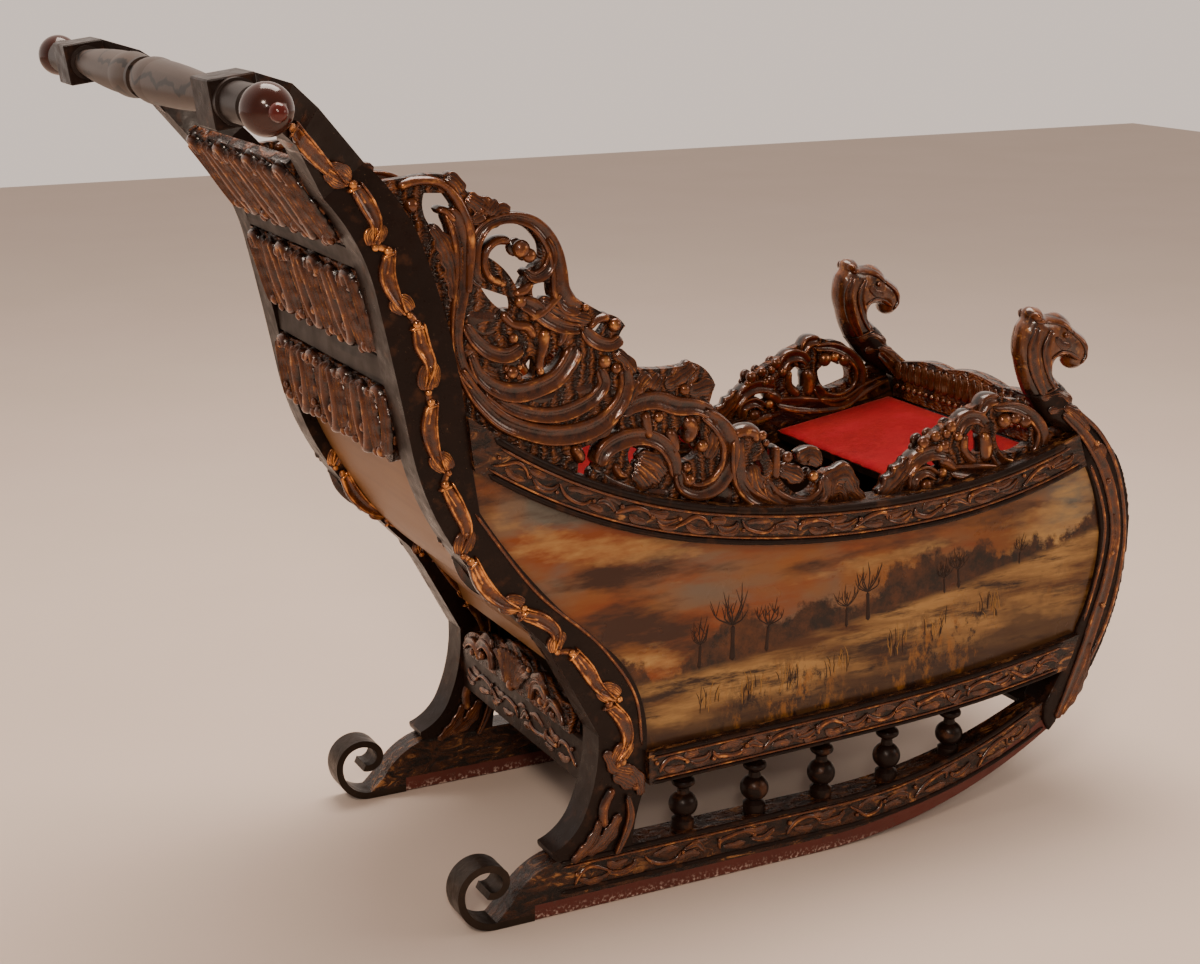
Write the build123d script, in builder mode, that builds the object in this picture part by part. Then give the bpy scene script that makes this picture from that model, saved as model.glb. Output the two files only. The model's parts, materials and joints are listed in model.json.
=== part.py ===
from build123d import *
import math
import os

# Child's push sled in carved wood: two mirrored side frames joined by cross pieces.
# Millimetres. +X runs forward to the carved heads, +Y to the left, +Z up, the ground is Z = 0.
# Side drawings measure x from a datum near mid-length, which lies drawing_shift ahead of the origin.
drawing_shift = 148.2

# Widths across the sled
frame_gap = 414.0          # between the mid-planes of the two side frames
runner_width = 36.0
post_thickness = 46.0
foot_thickness = 42.0
stem_thickness = 46.0
head_thickness = 40.0
handle_block_gap = 598.0   # between the mid-planes of the two handle blocks
handle_block_width = 60.0
fit = 0.3                  # clearance where curved faces meet

# Runner heights
red_height = 20.0
runner_top = 71.0
runner_rise_radius = 700.0
runner_rise_start = 0.0
runner_top_radius = 760.0
runner_top_start = 30.0
runner_seam_low = 362.0
runner_seam_high = 352.0
runner_tail = -446.0
red_tail = -396.0

# Iron scroll at the runner's tail
strap_thickness = 9.0
SCROLL_ARCS = ((44.0, 95.0), (31.0, 130.0), (16.0, 160.0))   # radius and degrees turned, one row an arc

# Rails
rail_depth = 40.0          # across the sled
rail_inset = 10.0          # the rails' inner faces lie this far inside the frame's mid-plane
top_rail_height = 46.0
bottom_rail_height = 42.0
panel_thickness = 10.0
rebate_depth = 9.0

# Balusters
baluster_belly = 36.0
baluster_x = (-186.0, -84.0, 15.0, 115.0, 213.0)

# Carved boards
carving_thickness = 14.0
back_board = 12.0
board = 12.0               # floor and seat

# Handle
bar_x = -745.0
bar_z = 983.0
rod_radius = 14.0
neck_radius = 20.0
ball_radius = 25.0
button_radius = 9.0
block_size = 48.0
block_lean = 8.0
horn_foot = (-606.0, 890.0)     # middle of the horn's root at the post's top
horn_head = (24.2, 3.3)         # middle of the horn's end, ahead of and above the bar
horn_margin = 12.0              # the horn's end is this much narrower than the block

half_gap = frame_gap / 2
rail_inner = half_gap - rail_inset
rail_mid = rail_inner + rail_depth / 2
panel_lip = 12.0
panel_outer = rail_inner + rail_depth - panel_lip
inner_face = half_gap - post_thickness / 2
inner_width = 2 * inner_face
HANDS = ((-1, "right"), (1, "left"))

os.makedirs("parts", exist_ok=True)


def side_plane(y):
    """Drawing plane of a side frame: local x forward, local y up, seen from the right side."""
    return Plane(origin=(drawing_shift, y, 0), x_dir=(1, 0, 0), z_dir=(0, -1, 0))


def cross_plane(x, z, tilt=0.0):
    """Plane across the sled at drawing position x, z: local x to the left, local y up along the board."""
    normal = Vector(-math.cos(math.radians(tilt)), 0, -math.sin(math.radians(tilt)))
    return Plane(origin=(drawing_shift + x, 0, z), x_dir=(0, -1, 0), z_dir=normal)


def outline(rows):
    """Closed outline: each row is x, z and the sagitta of the arc to the next row, positive bulging out."""
    closed = list(rows) + [rows[0]]
    area = sum(p[0] * q[1] - q[0] * p[1] for p, q in zip(closed, closed[1:]))
    outward = -1 if area > 0 else 1
    for (x0, z0, sagitta), (x1, z1, _) in zip(closed, closed[1:]):
        if sagitta == 0:
            Line((x0, z0), (x1, z1))
        else:
            SagittaArc((x0, z0), (x1, z1), outward * sagitta)


def save(part, name):
    part.label = name
    export_step(part, "parts/" + name + ".step")


def runner_rise(x, start, radius):
    """Height gained by the runner's upward curve at drawing position x."""
    return radius - math.sqrt(radius**2 - max(x - start, 0.0) ** 2)


def runner_top_at(x):
    return runner_top + runner_rise(x, runner_top_start, runner_top_radius)


# The runner's front end, where the stem's lower corners meet it
rise_turn = math.degrees(math.asin((runner_seam_low - runner_rise_start) / runner_rise_radius))
top_turn = math.degrees(math.asin((runner_seam_high - runner_top_start) / runner_top_radius))
red_top_radius = runner_rise_radius - red_height
seam_low = (runner_seam_low, runner_rise(runner_seam_low, runner_rise_start, runner_rise_radius))
seam_mid = (runner_rise_start + red_top_radius * math.sin(math.radians(rise_turn)),
            runner_rise_radius - red_top_radius * math.cos(math.radians(rise_turn)))
seam_high = (runner_seam_high, runner_top_at(runner_seam_high))

# Side drawings, one row a corner: x, z, sagitta of the arc to the next corner.
POST = (
    (-250, 192, 16), (-298, 326, -10), (-461, 516, 0), (-472, 590, 9), (-525, 827, 5),
    (-583.5, 907.5, 0), (-628.5, 872.5, -8), (-574, 766, -1), (-538, 590, 9), (-471, 448, 2),
    (-383, 349, 0), (-364, 318, 0), (-313, 222, 0),
)
# The horn's sections: shares of its reach in x, z and y, then depth and lean.
HORN = (
    (0.0, 0.0, 0.0, 57.0, 52.0), (0.457, 0.635, 0.5, 43.0, 35.0),
    (0.732, 0.87, 0.85, 47.0, 18.0), (1.0, 1.0, 1.0, 46.0, -8.0),
)
FOOT = (
    (-250, 191.7, 0), (-250, 147, -3), (-268, 71.3, 0), (-366, 71.3, 3), (-374, 84, -6), (-332, 122, -6),
    (-313, 221.7, 0),
)
STEM = (
    (seam_low[0], seam_low[1], 0), (418, 166, 3), (458, 250, 4), (475, 353, 8), (451, 466, 6),
    (378, 548, 3), (356, 577, 0), (308, 563, 0), (338, 527, 0), (388, 499, 0), (394, 469, -5),
    (428, 368, -8), (400, 244, -4), (seam_high[0], seam_high[1], 0), (seam_mid[0], seam_mid[1], 0),
)
HEAD = (
    (308, 563.3, 2), (291, 606, 2), (286, 632, 1), (290, 656, 0), (297, 664, 0), (297, 673, 3),
    (312, 677, 3), (323, 668, -1), (345, 668, 4), (370, 649, 0), (388, 637, 4), (396, 614, 3),
    (390, 598, 3), (375, 592, 2), (364, 601, -4), (353, 609, -3), (343, 600, -3), (344, 588, 0),
    (356, 577.3, 0),
)
RUNNER_TAIL = ((-366, 71), (-428, 26))
WING = (
    (-505, 640, 0), (-462, 588, 0), (-400, 548, 0), (-335, 512, 0), (-330, 570, 4), (-300, 590, 2),
    (-278, 612, 0), (-273, 640, 0), (-257, 650, 3), (-280, 682, -4), (-272, 706, 4), (-298, 722, 0),
    (-343, 749, -4), (-361, 805, 8), (-413, 842, -3), (-456, 861, 0), (-477, 885, 3), (-524, 888, 0),
    (-568, 884, 0), (-545, 840, 0), (-505, 752, 0), (-500, 690, 0),
)
WING_HOLES = (
    ((-512, 870, 4), (-508, 838, 5), (-480, 812, 0), (-478, 868, 0)),
    ((-446, 800, 8), (-428, 828, 10), (-384, 818, 4), (-376, 790, -4), (-404, 756, -6)),
    ((-448, 764, 0), (-412, 750, 2), (-412, 730, 4)),
    ((-386, 762, 2), (-364, 762, 2), (-362, 744, 2), (-384, 744, 2)),
    ((-402, 682, 2), (-386, 682, 2), (-388, 660, 2), (-402, 660, 2)),
    ((-376, 674, 4), (-352, 690, 3), (-346, 668, 4), (-370, 660, 2)),
    ((-318, 714, 3), (-294, 712, 0), (-306, 698, 3)),
)
MID_CREST = (
    (-322, 494, 0), (-318, 530, 4), (-280, 588, 0), (-264, 640, 0), (-250, 655, -3), (-182, 655, 4),
    (-154, 627, 0), (-162, 602, 5), (-138, 573, 3), (-138, 538, 3), (-150, 504, 4), (-170, 490, 0),
    (-150, 440, 0),
)
MID_CREST_HOLES = (
    ((-268, 558, 5), (-238, 582, 2), (-230, 560, 4), (-258, 536, 3)),
    ((-208, 570, 4), (-182, 590, 4), (-172, 552, 4), (-198, 538, 3)),
)
SECOND_CREST = (
    (-128, 446, 0), (-128, 500, 0), (-126, 560, 6), (-100, 563, 2), (-68, 511, -4), (-32, 476, -2),
    (-12, 484, 3), (7, 504, 4), (34, 484, 2), (58, 456, 0), (80, 430, 0),
)
SECOND_CREST_HOLES = (((-108, 516, 4), (-92, 528, 3), (-84, 500, 2), (-104, 492, 3)),)
FRONT_CREST = (
    (84, 436, 0), (88, 464, 4), (138, 510, 4), (194, 546, 2), (232, 562, 6), (276, 562, 6), (312, 545, 0),
    (340, 518, 0), (366, 500, 0), (366, 474, 0), (346, 460, 0),
)
FRONT_CREST_HOLES = (
    ((150, 490, 4), (176, 504, 4), (184, 480, 4), (158, 472, 3)),
    ((204, 500, 5), (220, 530, 5), (240, 504, -3), (226, 484, 4)),
    ((258, 520, 6), (296, 530, 6), (312, 502, 5), (270, 494, 3)),
)

# Rail paths, one row an arc: radius and degrees turned, positive turning up.
TOP_RAIL_START = (-496.0, 615.0)
TOP_RAIL_HEADING = -38.2
TOP_RAIL_ARCS = ((774.0, 26.7), (1257.0, 15.0), (806.0, 16.5))
BOTTOM_RAIL_START = (-249.5, 170.5)
BOTTOM_RAIL_HEADING = 1.0
BOTTOM_RAIL_ARCS = ((20000.0, 1.0), (1900.0, 9.6))


def rail_path(start, heading, arcs):
    """Tangent arcs from a start point; gives the end point and heading of each arc."""
    ends = []
    point = start
    angle = heading
    for radius, turn in arcs:
        side = 1 if turn > 0 else -1
        centre_angle = math.radians(angle + 90 * side)
        centre = (point[0] + radius * math.cos(centre_angle), point[1] + radius * math.sin(centre_angle))
        angle += turn
        end_angle = math.radians(angle - 90 * side)
        point = (centre[0] + radius * math.cos(end_angle), centre[1] + radius * math.sin(end_angle))
        ends.append((centre, radius, point, angle))
    return ends


def rail_height_at(path, x):
    """Height of the rail's centre line at drawing position x."""
    for centre, radius, end, _ in path:
        if x <= end[0] or end is path[-1][2]:
            return centre[1] - math.sqrt(radius**2 - (x - centre[0]) ** 2)
    return path[-1][2][1]


BOTTOM_PATH = rail_path(BOTTOM_RAIL_START, BOTTOM_RAIL_HEADING, BOTTOM_RAIL_ARCS)


def band(start, heading, arcs, lower, upper):
    """Closed band between two offsets from the tangent arcs, for a rail or a panel edge."""
    def offset_points(shift):
        first = math.radians(heading + 90)
        points = [(start[0] + shift * math.cos(first), start[1] + shift * math.sin(first))]
        for _, _, end, angle in rail_path(start, heading, arcs):
            normal = math.radians(angle + 90)
            points.append((end[0] + shift * math.cos(normal), end[1] + shift * math.sin(normal)))
        return points
    rows = []
    low = offset_points(lower)
    high = offset_points(upper)
    for i, (radius, turn) in enumerate(arcs):
        sagitta = (radius - lower) * (1 - math.cos(math.radians(turn) / 2))
        rows.append((low[i][0], low[i][1], sagitta))
    rows.append((low[-1][0], low[-1][1], 0))
    for i in range(len(arcs) - 1, -1, -1):
        radius, turn = arcs[i]
        sagitta = (radius - upper) * (1 - math.cos(math.radians(turn) / 2))
        rows.append((high[i + 1][0], high[i + 1][1], -sagitta))
    rows.append((high[0][0], high[0][1], 0))
    return rows


TOP_BAND = band(TOP_RAIL_START, TOP_RAIL_HEADING, TOP_RAIL_ARCS, -top_rail_height / 2, top_rail_height / 2)
BOTTOM_BAND = band(BOTTOM_RAIL_START, BOTTOM_RAIL_HEADING, BOTTOM_RAIL_ARCS,
                   -bottom_rail_height / 2, bottom_rail_height / 2)

# The scroll's strap starts as a flat strip under the runner's tail and curls up behind it.
strap_half = strap_thickness / 2
strap_curl = band((0.0, strap_half), 0.0, SCROLL_ARCS, -strap_half, strap_half)
strip = [(red_tail - fit, strap_thickness, 0), (red_tail - fit, 0.0, 0)]
SCROLL = strip + [(runner_tail - x, z, bulge) for x, z, bulge in strap_curl]

panel_top = band(TOP_RAIL_START, TOP_RAIL_HEADING, TOP_RAIL_ARCS, -top_rail_height,
                 -top_rail_height / 2 + rebate_depth - fit)[len(TOP_RAIL_ARCS) + 1:]
panel_low = band(BOTTOM_RAIL_START, BOTTOM_RAIL_HEADING, BOTTOM_RAIL_ARCS,
                 bottom_rail_height / 2 - rebate_depth + fit, bottom_rail_height)[:len(BOTTOM_RAIL_ARCS) + 1]
panel_front = 440.0
panel_rear = [(-470, 480, 0), (-365, 360, 0)]
panel_end = [(panel_front, panel_low[-1][1], 0), (panel_front, panel_top[0][1], 0)]
PANEL = panel_low + panel_end + panel_top + panel_rear


for side, hand in HANDS:
    frame = side_plane(side * half_gap)

    # Runner, red lower board: flat on the ground, then one long rise to the stem.
    with BuildPart() as runner_lower:
        with BuildSketch(frame):
            with BuildLine():
                Line((red_tail, red_height), (red_tail, 0))
                Line((red_tail, 0), (runner_rise_start, 0))
                JernArc((runner_rise_start, 0), (1, 0), runner_rise_radius, rise_turn)
                Line(seam_low, seam_mid)
                JernArc((runner_rise_start, red_height), (1, 0), red_top_radius, rise_turn)
                Line((runner_rise_start, red_height), (red_tail, red_height))
            make_face()
        extrude(amount=runner_width / 2, both=True)
        chamfer(runner_lower.edges().filter_by(Axis.X).sort_by(Axis.Z)[:2], 2.0)
    save(runner_lower.part, "runner_lower_board_" + hand)

    # Runner, moulded upper board, thinning into a tail over the iron scroll.
    with BuildPart() as runner_upper:
        with BuildSketch(frame):
            with BuildLine():
                Line((RUNNER_TAIL[0][0], runner_top), (runner_top_start, runner_top))
                JernArc((runner_top_start, runner_top), (1, 0), runner_top_radius, top_turn)
                Line(seam_high, seam_mid)
                JernArc((runner_rise_start, red_height), (1, 0), red_top_radius, rise_turn)
                Line((runner_rise_start, red_height), (red_tail, red_height))
                Line((red_tail, red_height), (red_tail, strap_thickness))
                Line((red_tail, strap_thickness), (runner_tail, strap_thickness))
                Line((runner_tail, strap_thickness), RUNNER_TAIL[1])
                SagittaArc(RUNNER_TAIL[1], (RUNNER_TAIL[0][0], runner_top), 8)
            make_face()
        extrude(amount=runner_width / 2, both=True)
    save(runner_upper.part, "runner_upper_board_" + hand)

    # Iron strap curled into an open scroll behind the runner.
    with BuildPart() as scroll:
        with BuildSketch(frame):
            with BuildLine():
                outline(SCROLL)
            make_face()
        extrude(amount=runner_width / 2, both=True)
    save(scroll.part, "runner_scroll_" + hand)

    # Flared foot between runner and post.
    with BuildPart() as foot:
        with BuildSketch(frame):
            with BuildLine():
                outline(FOOT)
            make_face()
        extrude(amount=foot_thickness / 2, both=True)
    save(foot.part, "rear_foot_" + hand)

    # Rear post: sawn S-curved plank, then a horn that flares outward to the handle block.
    with BuildPart() as post:
        with BuildSketch(frame):
            with BuildLine():
                outline(POST)
            make_face()
        extrude(amount=post_thickness / 2, both=True)
        block_y = side * handle_block_gap / 2
        reach_x = bar_x + horn_head[0] - horn_foot[0]
        reach_z = bar_z + horn_head[1] - horn_foot[1]
        sections = []
        for along, up, share, depth, lean in HORN:
            x = horn_foot[0] + along * reach_x
            z = horn_foot[1] + up * reach_z
            y = side * half_gap + share * (block_y - side * half_gap)
            angle = math.radians(lean)
            plane = Plane(origin=(drawing_shift + x, y, z), x_dir=(0, 1, 0),
                          z_dir=(-math.cos(angle), 0, math.sin(angle)))
            width = post_thickness + share * (handle_block_width - horn_margin - post_thickness)
            with BuildSketch(plane) as section:
                Rectangle(width, depth)
            sections.append(section.sketch)
        loft(sections=sections, ruled=True)
    save(post.part, "rear_post_" + hand)

    # Front stem: curved plank that carries the carved head, cut round the top rail's end.
    with BuildPart() as stem:
        with BuildSketch(frame):
            with BuildLine():
                outline(STEM)
            make_face()
            with BuildLine():
                outline(TOP_BAND)
            make_face(mode=Mode.SUBTRACT)
        extrude(amount=stem_thickness / 2, both=True)
    save(stem.part, "front_stem_" + hand)

    # Carved head: long neck, small ear and a hooked beak.
    with BuildPart() as head:
        with BuildSketch(frame):
            with BuildLine():
                outline(HEAD)
            make_face()
        extrude(amount=head_thickness / 2, both=True)
    save(head.part, "carved_head_" + hand)

    # Top rail: wide moulded board with a rebate behind its lower edge for the side panel.
    with BuildPart() as top_rail:
        with BuildSketch(side_plane(side * rail_mid)):
            with BuildLine():
                outline(TOP_BAND)
            make_face()
            with BuildLine():
                outline(POST)
            make_face(mode=Mode.SUBTRACT)
        extrude(amount=rail_depth / 2, both=True)
        with BuildSketch(side_plane(side * (panel_outer - panel_thickness / 2))):
            with BuildLine():
                outline(band(TOP_RAIL_START, TOP_RAIL_HEADING, TOP_RAIL_ARCS,
                             -top_rail_height, -top_rail_height / 2 + rebate_depth))
            make_face()
        extrude(amount=panel_thickness / 2 + fit, both=True, mode=Mode.SUBTRACT)
    save(top_rail.part, "top_rail_" + hand)

    # Bottom rail with the matching rebate along its upper edge.
    with BuildPart() as bottom_rail:
        with BuildSketch(side_plane(side * rail_mid)):
            with BuildLine():
                outline(BOTTOM_BAND)
            make_face()
            with BuildLine():
                outline(STEM)
            make_face(mode=Mode.SUBTRACT)
        extrude(amount=rail_depth / 2, both=True)
        with BuildSketch(side_plane(side * (panel_outer - panel_thickness / 2))):
            with BuildLine():
                outline(band(BOTTOM_RAIL_START, BOTTOM_RAIL_HEADING, BOTTOM_RAIL_ARCS,
                             bottom_rail_height / 2 - rebate_depth, bottom_rail_height))
            make_face()
        extrude(amount=panel_thickness / 2 + fit, both=True, mode=Mode.SUBTRACT)
    save(bottom_rail.part, "bottom_rail_" + hand)

    # Painted side panel: board held in both rebates, cut to the post and the stem.
    with BuildPart() as panel:
        with BuildSketch(side_plane(side * (panel_outer - panel_thickness / 2))):
            with BuildLine():
                outline(PANEL)
            make_face()
            for shape in (POST, FOOT, STEM):
                with BuildLine():
                    outline(shape)
                make_face(mode=Mode.SUBTRACT)
        extrude(amount=panel_thickness / 2, both=True)
    save(panel.part, "side_panel_" + hand)

    # Turned balusters between the runner and the bottom rail, their ends cut to both curves.
    with BuildPart() as balusters:
        for x in baluster_x:
            foot_z = runner_top_at(x - 14) - 1
            head_z = rail_height_at(BOTTOM_PATH, x + 10) - bottom_rail_height / 2 + 1
            span = head_z - foot_z
            with BuildSketch(side_plane(side * half_gap), mode=Mode.PRIVATE) as turning:
                with BuildLine():
                    outline((
                        (x, foot_z, 0), (x + 14, foot_z, 0), (x + 14, foot_z + 0.14 * span, 0),
                        (x + 8, foot_z + 0.2 * span, baluster_belly / 2 - 8),
                        (x + 8, foot_z + 0.56 * span, 0),
                        (x + 7, foot_z + 0.64 * span, 0), (x + 12, foot_z + 0.69 * span, 3),
                        (x + 12, foot_z + 0.80 * span, 0), (x + 7, foot_z + 0.86 * span, 0),
                        (x + 10, foot_z + 0.91 * span, 0), (x + 10, head_z, 0), (x, head_z, 0),
                    ))
                make_face()
            spin = Axis((drawing_shift + x, side * half_gap, 0), (0, 0, 1))
            revolve(turning.sketch, axis=spin, revolution_arc=360)
        with BuildSketch(frame):
            with BuildLine():
                outline(BOTTOM_BAND)
            make_face()
        extrude(amount=rail_depth, both=True, mode=Mode.SUBTRACT)
        add(runner_upper.part, mode=Mode.SUBTRACT)
    save(balusters.part, "balusters_" + hand)

    # Pierced carvings that stand on the top rail.
    for rows, holes, name in (
        (WING, WING_HOLES, "rear_wing_"),
        (MID_CREST, MID_CREST_HOLES, "middle_crest_"),
        (SECOND_CREST, SECOND_CREST_HOLES, "second_crest_"),
        (FRONT_CREST, FRONT_CREST_HOLES, "front_crest_"),
    ):
        with BuildPart() as crest:
            with BuildSketch(frame):
                with BuildLine():
                    outline(rows)
                make_face()
                for cut in (TOP_BAND, POST, STEM) + holes:
                    with BuildLine():
                        outline(cut)
                    make_face(mode=Mode.SUBTRACT)
            extrude(amount=carving_thickness / 2, both=True)
        save(crest.part, name + hand)

    # Square handle block, bored for the bar.
    with BuildPart() as block:
        block_plane = side_plane(side * handle_block_gap / 2)
        with BuildSketch(block_plane):
            with Locations((bar_x, bar_z)):
                Rectangle(block_size, block_size, rotation=block_lean)
        extrude(amount=handle_block_width / 2, both=True)
        chamfer(block.edges(), 1.5)
        with BuildSketch(block_plane):
            with Locations((bar_x, bar_z)):
                Circle(rod_radius + fit)
        extrude(amount=handle_block_width, both=True, mode=Mode.SUBTRACT)
    save(block.part, "handle_block_" + hand)


# Turned handle bar: centre ring, two vases, rod through the blocks, necks and ball ends.
block_in = handle_block_gap / 2 - handle_block_width / 2
block_out = handle_block_gap / 2 + handle_block_width / 2
ball_at = block_out + 92
with BuildPart() as bar:
    half_profile = (
        (5, 23, 0), (5, 20, 0), (9, 20, 3), (70, 24, 2), (block_in - 3, 15, 0), (block_in - 3, 20, 0),
        (block_in - fit, 20, 0), (block_in - fit, rod_radius, 0), (block_out + fit, rod_radius, 0),
        (block_out + fit, 23, 0), (block_out + 8, 23, 0), (block_out + 8, neck_radius, 0),
        (block_out + 62, neck_radius, 0), (block_out + 68, 13, 0), (ball_at, 13, 0), (ball_at, 0, 0),
    )
    rows = []
    for i in range(len(half_profile) - 1, 0, -1):
        reach, radius, _ = half_profile[i]
        rows.append((-reach, radius, half_profile[i - 1][2]))
    rows.append((-half_profile[0][0], half_profile[0][1], 0))
    with BuildSketch(Plane(origin=(drawing_shift + bar_x, 0, bar_z), x_dir=(0, -1, 0), z_dir=(-1, 0, 0))):
        with BuildLine():
            outline(rows + list(half_profile))
        make_face()
    revolve(axis=Axis((drawing_shift + bar_x, 0, bar_z), (0, 1, 0)), revolution_arc=360)
    for side, hand in HANDS:
        with Locations((drawing_shift + bar_x, side * ball_at, bar_z)):
            Sphere(ball_radius)
        with Locations((drawing_shift + bar_x, side * (ball_at + ball_radius + button_radius - 1), bar_z)):
            Sphere(button_radius)
save(bar.part, "handle_bar")

# Cross pieces of the back, between the posts. Rows: name, foot x and z, head x and z, thickness.
BACK_RAILS = (
    ("back_rail_upper", (-580, 788), (-588, 815), 22.0),
    ("back_rail_lower", (-548, 655), (-551, 692), 18.0),
)
for name, foot_at, head_at, thickness in BACK_RAILS:
    lean = math.degrees(math.atan2(foot_at[0] - head_at[0], head_at[1] - foot_at[1]))
    height = math.hypot(foot_at[0] - head_at[0], head_at[1] - foot_at[1])
    with BuildPart() as rail:
        with BuildSketch(cross_plane(foot_at[0], foot_at[1], lean)):
            Rectangle(inner_width, height, align=(Align.CENTER, Align.MIN))
        extrude(amount=-thickness)
        chamfer(rail.faces().sort_by(Axis.X)[0].edges().filter_by(Axis.Y), 3.0)
    save(rail.part, name)

# Pierced carved boards of the back.
# Rows: name, foot, head, edge drop, hole count, hole half width and half height.
PIERCED = (
    ("pierced_panel_top", (-588.5, 815), (-652, 905), 0.0, 7, 9.0, 34.0),
    ("pierced_panel_middle", (-551.5, 692.3), (-580, 787.7), 0.0, 7, 8.0, 32.0),
    ("pierced_panel_lower", (-541, 592), (-547.8, 653.2), 26.0, 7, 8.0, 20.0),
)
for name, foot_at, head_at, drop, count, half_w, half_h in PIERCED:
    lean = math.degrees(math.atan2(foot_at[0] - head_at[0], head_at[1] - foot_at[1]))
    height = math.hypot(foot_at[0] - head_at[0], head_at[1] - foot_at[1])
    pitch = inner_width / count
    with BuildPart() as pierced:
        with BuildSketch(cross_plane(foot_at[0], foot_at[1], lean)):
            Rectangle(inner_width, height, align=(Align.CENTER, Align.MIN))
            if drop > 0:
                for i in range(count):
                    middle = (i + 0.5) * pitch - inner_width / 2
                    with BuildLine():
                        outline((
                            (middle - 0.42 * pitch, 2, 0), (middle - 0.3 * pitch, -0.55 * drop, 3),
                            (middle, -drop, 3), (middle + 0.3 * pitch, -0.55 * drop, 0),
                            (middle + 0.42 * pitch, 2, 0),
                        ))
                    make_face()
            for i in range(count):
                middle = (i + 0.5) * pitch - inner_width / 2
                with BuildLine():
                    outline((
                        (middle - half_w, height / 2, 4), (middle, height / 2 + half_h, 4),
                        (middle + half_w, height / 2, 4), (middle, height / 2 - half_h, 4),
                    ))
                make_face(mode=Mode.SUBTRACT)
        extrude(amount=-back_board)
    save(pierced.part, name)

# Bent board that closes the lower back, from behind the lowest carving to the floor.
back_sheet = 6.0
BACK_PANEL_REAR = ((-532, 654), (-524, 592), (-458, 450), (-365, 345), (-318, 290), (-309.5, 266))
BACK_PANEL_BULGE = (0, 6, 7, 2, 0)
with BuildPart() as back_panel:
    with BuildSketch(side_plane(0)):
        rear_rows = [(x, z, s) for (x, z), s in zip(BACK_PANEL_REAR, BACK_PANEL_BULGE + (0,))]
        front_rows = []
        for i in range(len(BACK_PANEL_REAR) - 1, -1, -1):
            before = BACK_PANEL_REAR[max(i - 1, 0)]
            after = BACK_PANEL_REAR[min(i + 1, len(BACK_PANEL_REAR) - 1)]
            span = math.hypot(after[0] - before[0], after[1] - before[1])
            shift_x = back_sheet * (before[1] - after[1]) / span
            shift_z = back_sheet * (after[0] - before[0]) / span
            x, z = BACK_PANEL_REAR[i]
            bulge = -BACK_PANEL_BULGE[i - 1] if i > 0 else 0
            front_rows.append((x + shift_x, z + shift_z, bulge))
        with BuildLine():
            outline(rear_rows + front_rows)
        make_face()
    extrude(amount=inner_face - fit, both=True)
save(back_panel.part, "back_panel")

# Rail between the two feet, and the carved shell crest standing on it.
with BuildPart() as cross_rail:
    with BuildSketch(cross_plane(-311, 139)):
        Rectangle(inner_width + 4, 61, align=(Align.CENTER, Align.MIN))
    extrude(amount=-16)
    chamfer(cross_rail.faces().sort_by(Axis.X)[0].edges().filter_by(Axis.Y), 3.0)
save(cross_rail.part, "rear_cross_rail")

with BuildPart() as apron:
    with BuildSketch(cross_plane(-318, 200)):
        with BuildLine():
            outline((
                (-160, 0, 0), (-160, 20, 6), (-110, 38, 5), (-60, 46, 4), (-30, 52, 12),
                (30, 52, 4), (60, 46, 5), (110, 38, 6), (160, 20, 0), (160, 0, 0),
            ))
        make_face()
    extrude(amount=-14)
save(apron.part, "rear_shell_crest")

# Floor between the bottom rails, notched between the feet.
floor_z = 176.0
floor_rear = -294.7
floor_notch = -249.7
floor_front = 300.0
with BuildPart() as floor_board:
    with BuildSketch(Plane(origin=(drawing_shift, 0, floor_z))):
        with BuildLine():
            outline((
                (floor_rear, -inner_face, 0), (floor_notch, -inner_face, 0), (floor_notch, -rail_inner, 0),
                (floor_front, -rail_inner, 0), (floor_front, rail_inner, 0), (floor_notch, rail_inner, 0),
                (floor_notch, inner_face, 0), (floor_rear, inner_face, 0),
            ))
        make_face()
    extrude(amount=board)
save(floor_board.part, "floor_board")

# Seat board resting between the side panels, and its velvet cushion.
seat_z = 400.0
seat_front = -50.0
seat_rear = -406.0
seat_notch = -360.0
cushion_rear = seat_rear + 2
cushion_notch = seat_notch - 16
cushion_front = seat_front - 2
cushion_height = 52.0
with BuildPart() as seat_board:
    with BuildSketch(Plane(origin=(drawing_shift, 0, seat_z))):
        panel_inner = panel_outer - panel_thickness - fit
        with BuildLine():
            outline((
                (seat_rear, -inner_face, 0), (seat_notch, -inner_face, 0), (seat_notch, -panel_inner, 0),
                (seat_front, -panel_inner, 0), (seat_front, panel_inner, 0), (seat_notch, panel_inner, 0),
                (seat_notch, inner_face, 0), (seat_rear, inner_face, 0),
            ))
        make_face()
    extrude(amount=board)
save(seat_board.part, "seat_board")

with BuildPart() as cushion:
    with BuildSketch(Plane(origin=(drawing_shift, 0, seat_z + board + fit))):
        with BuildLine():
            outline((
                (cushion_rear, 2 - inner_face, 0), (cushion_notch, 2 - inner_face, 0),
                (cushion_notch, 2 - rail_inner, 0), (cushion_front, 2 - rail_inner, 0),
                (cushion_front, rail_inner - 2, 0), (cushion_notch, rail_inner - 2, 0),
                (cushion_notch, inner_face - 2, 0), (cushion_rear, inner_face - 2, 0),
            ))
        make_face()
    extrude(amount=cushion_height)
    fillet(cushion.faces().sort_by(Axis.Z)[-1].edges(), 9.0)
save(cushion.part, "seat_cushion")

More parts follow.
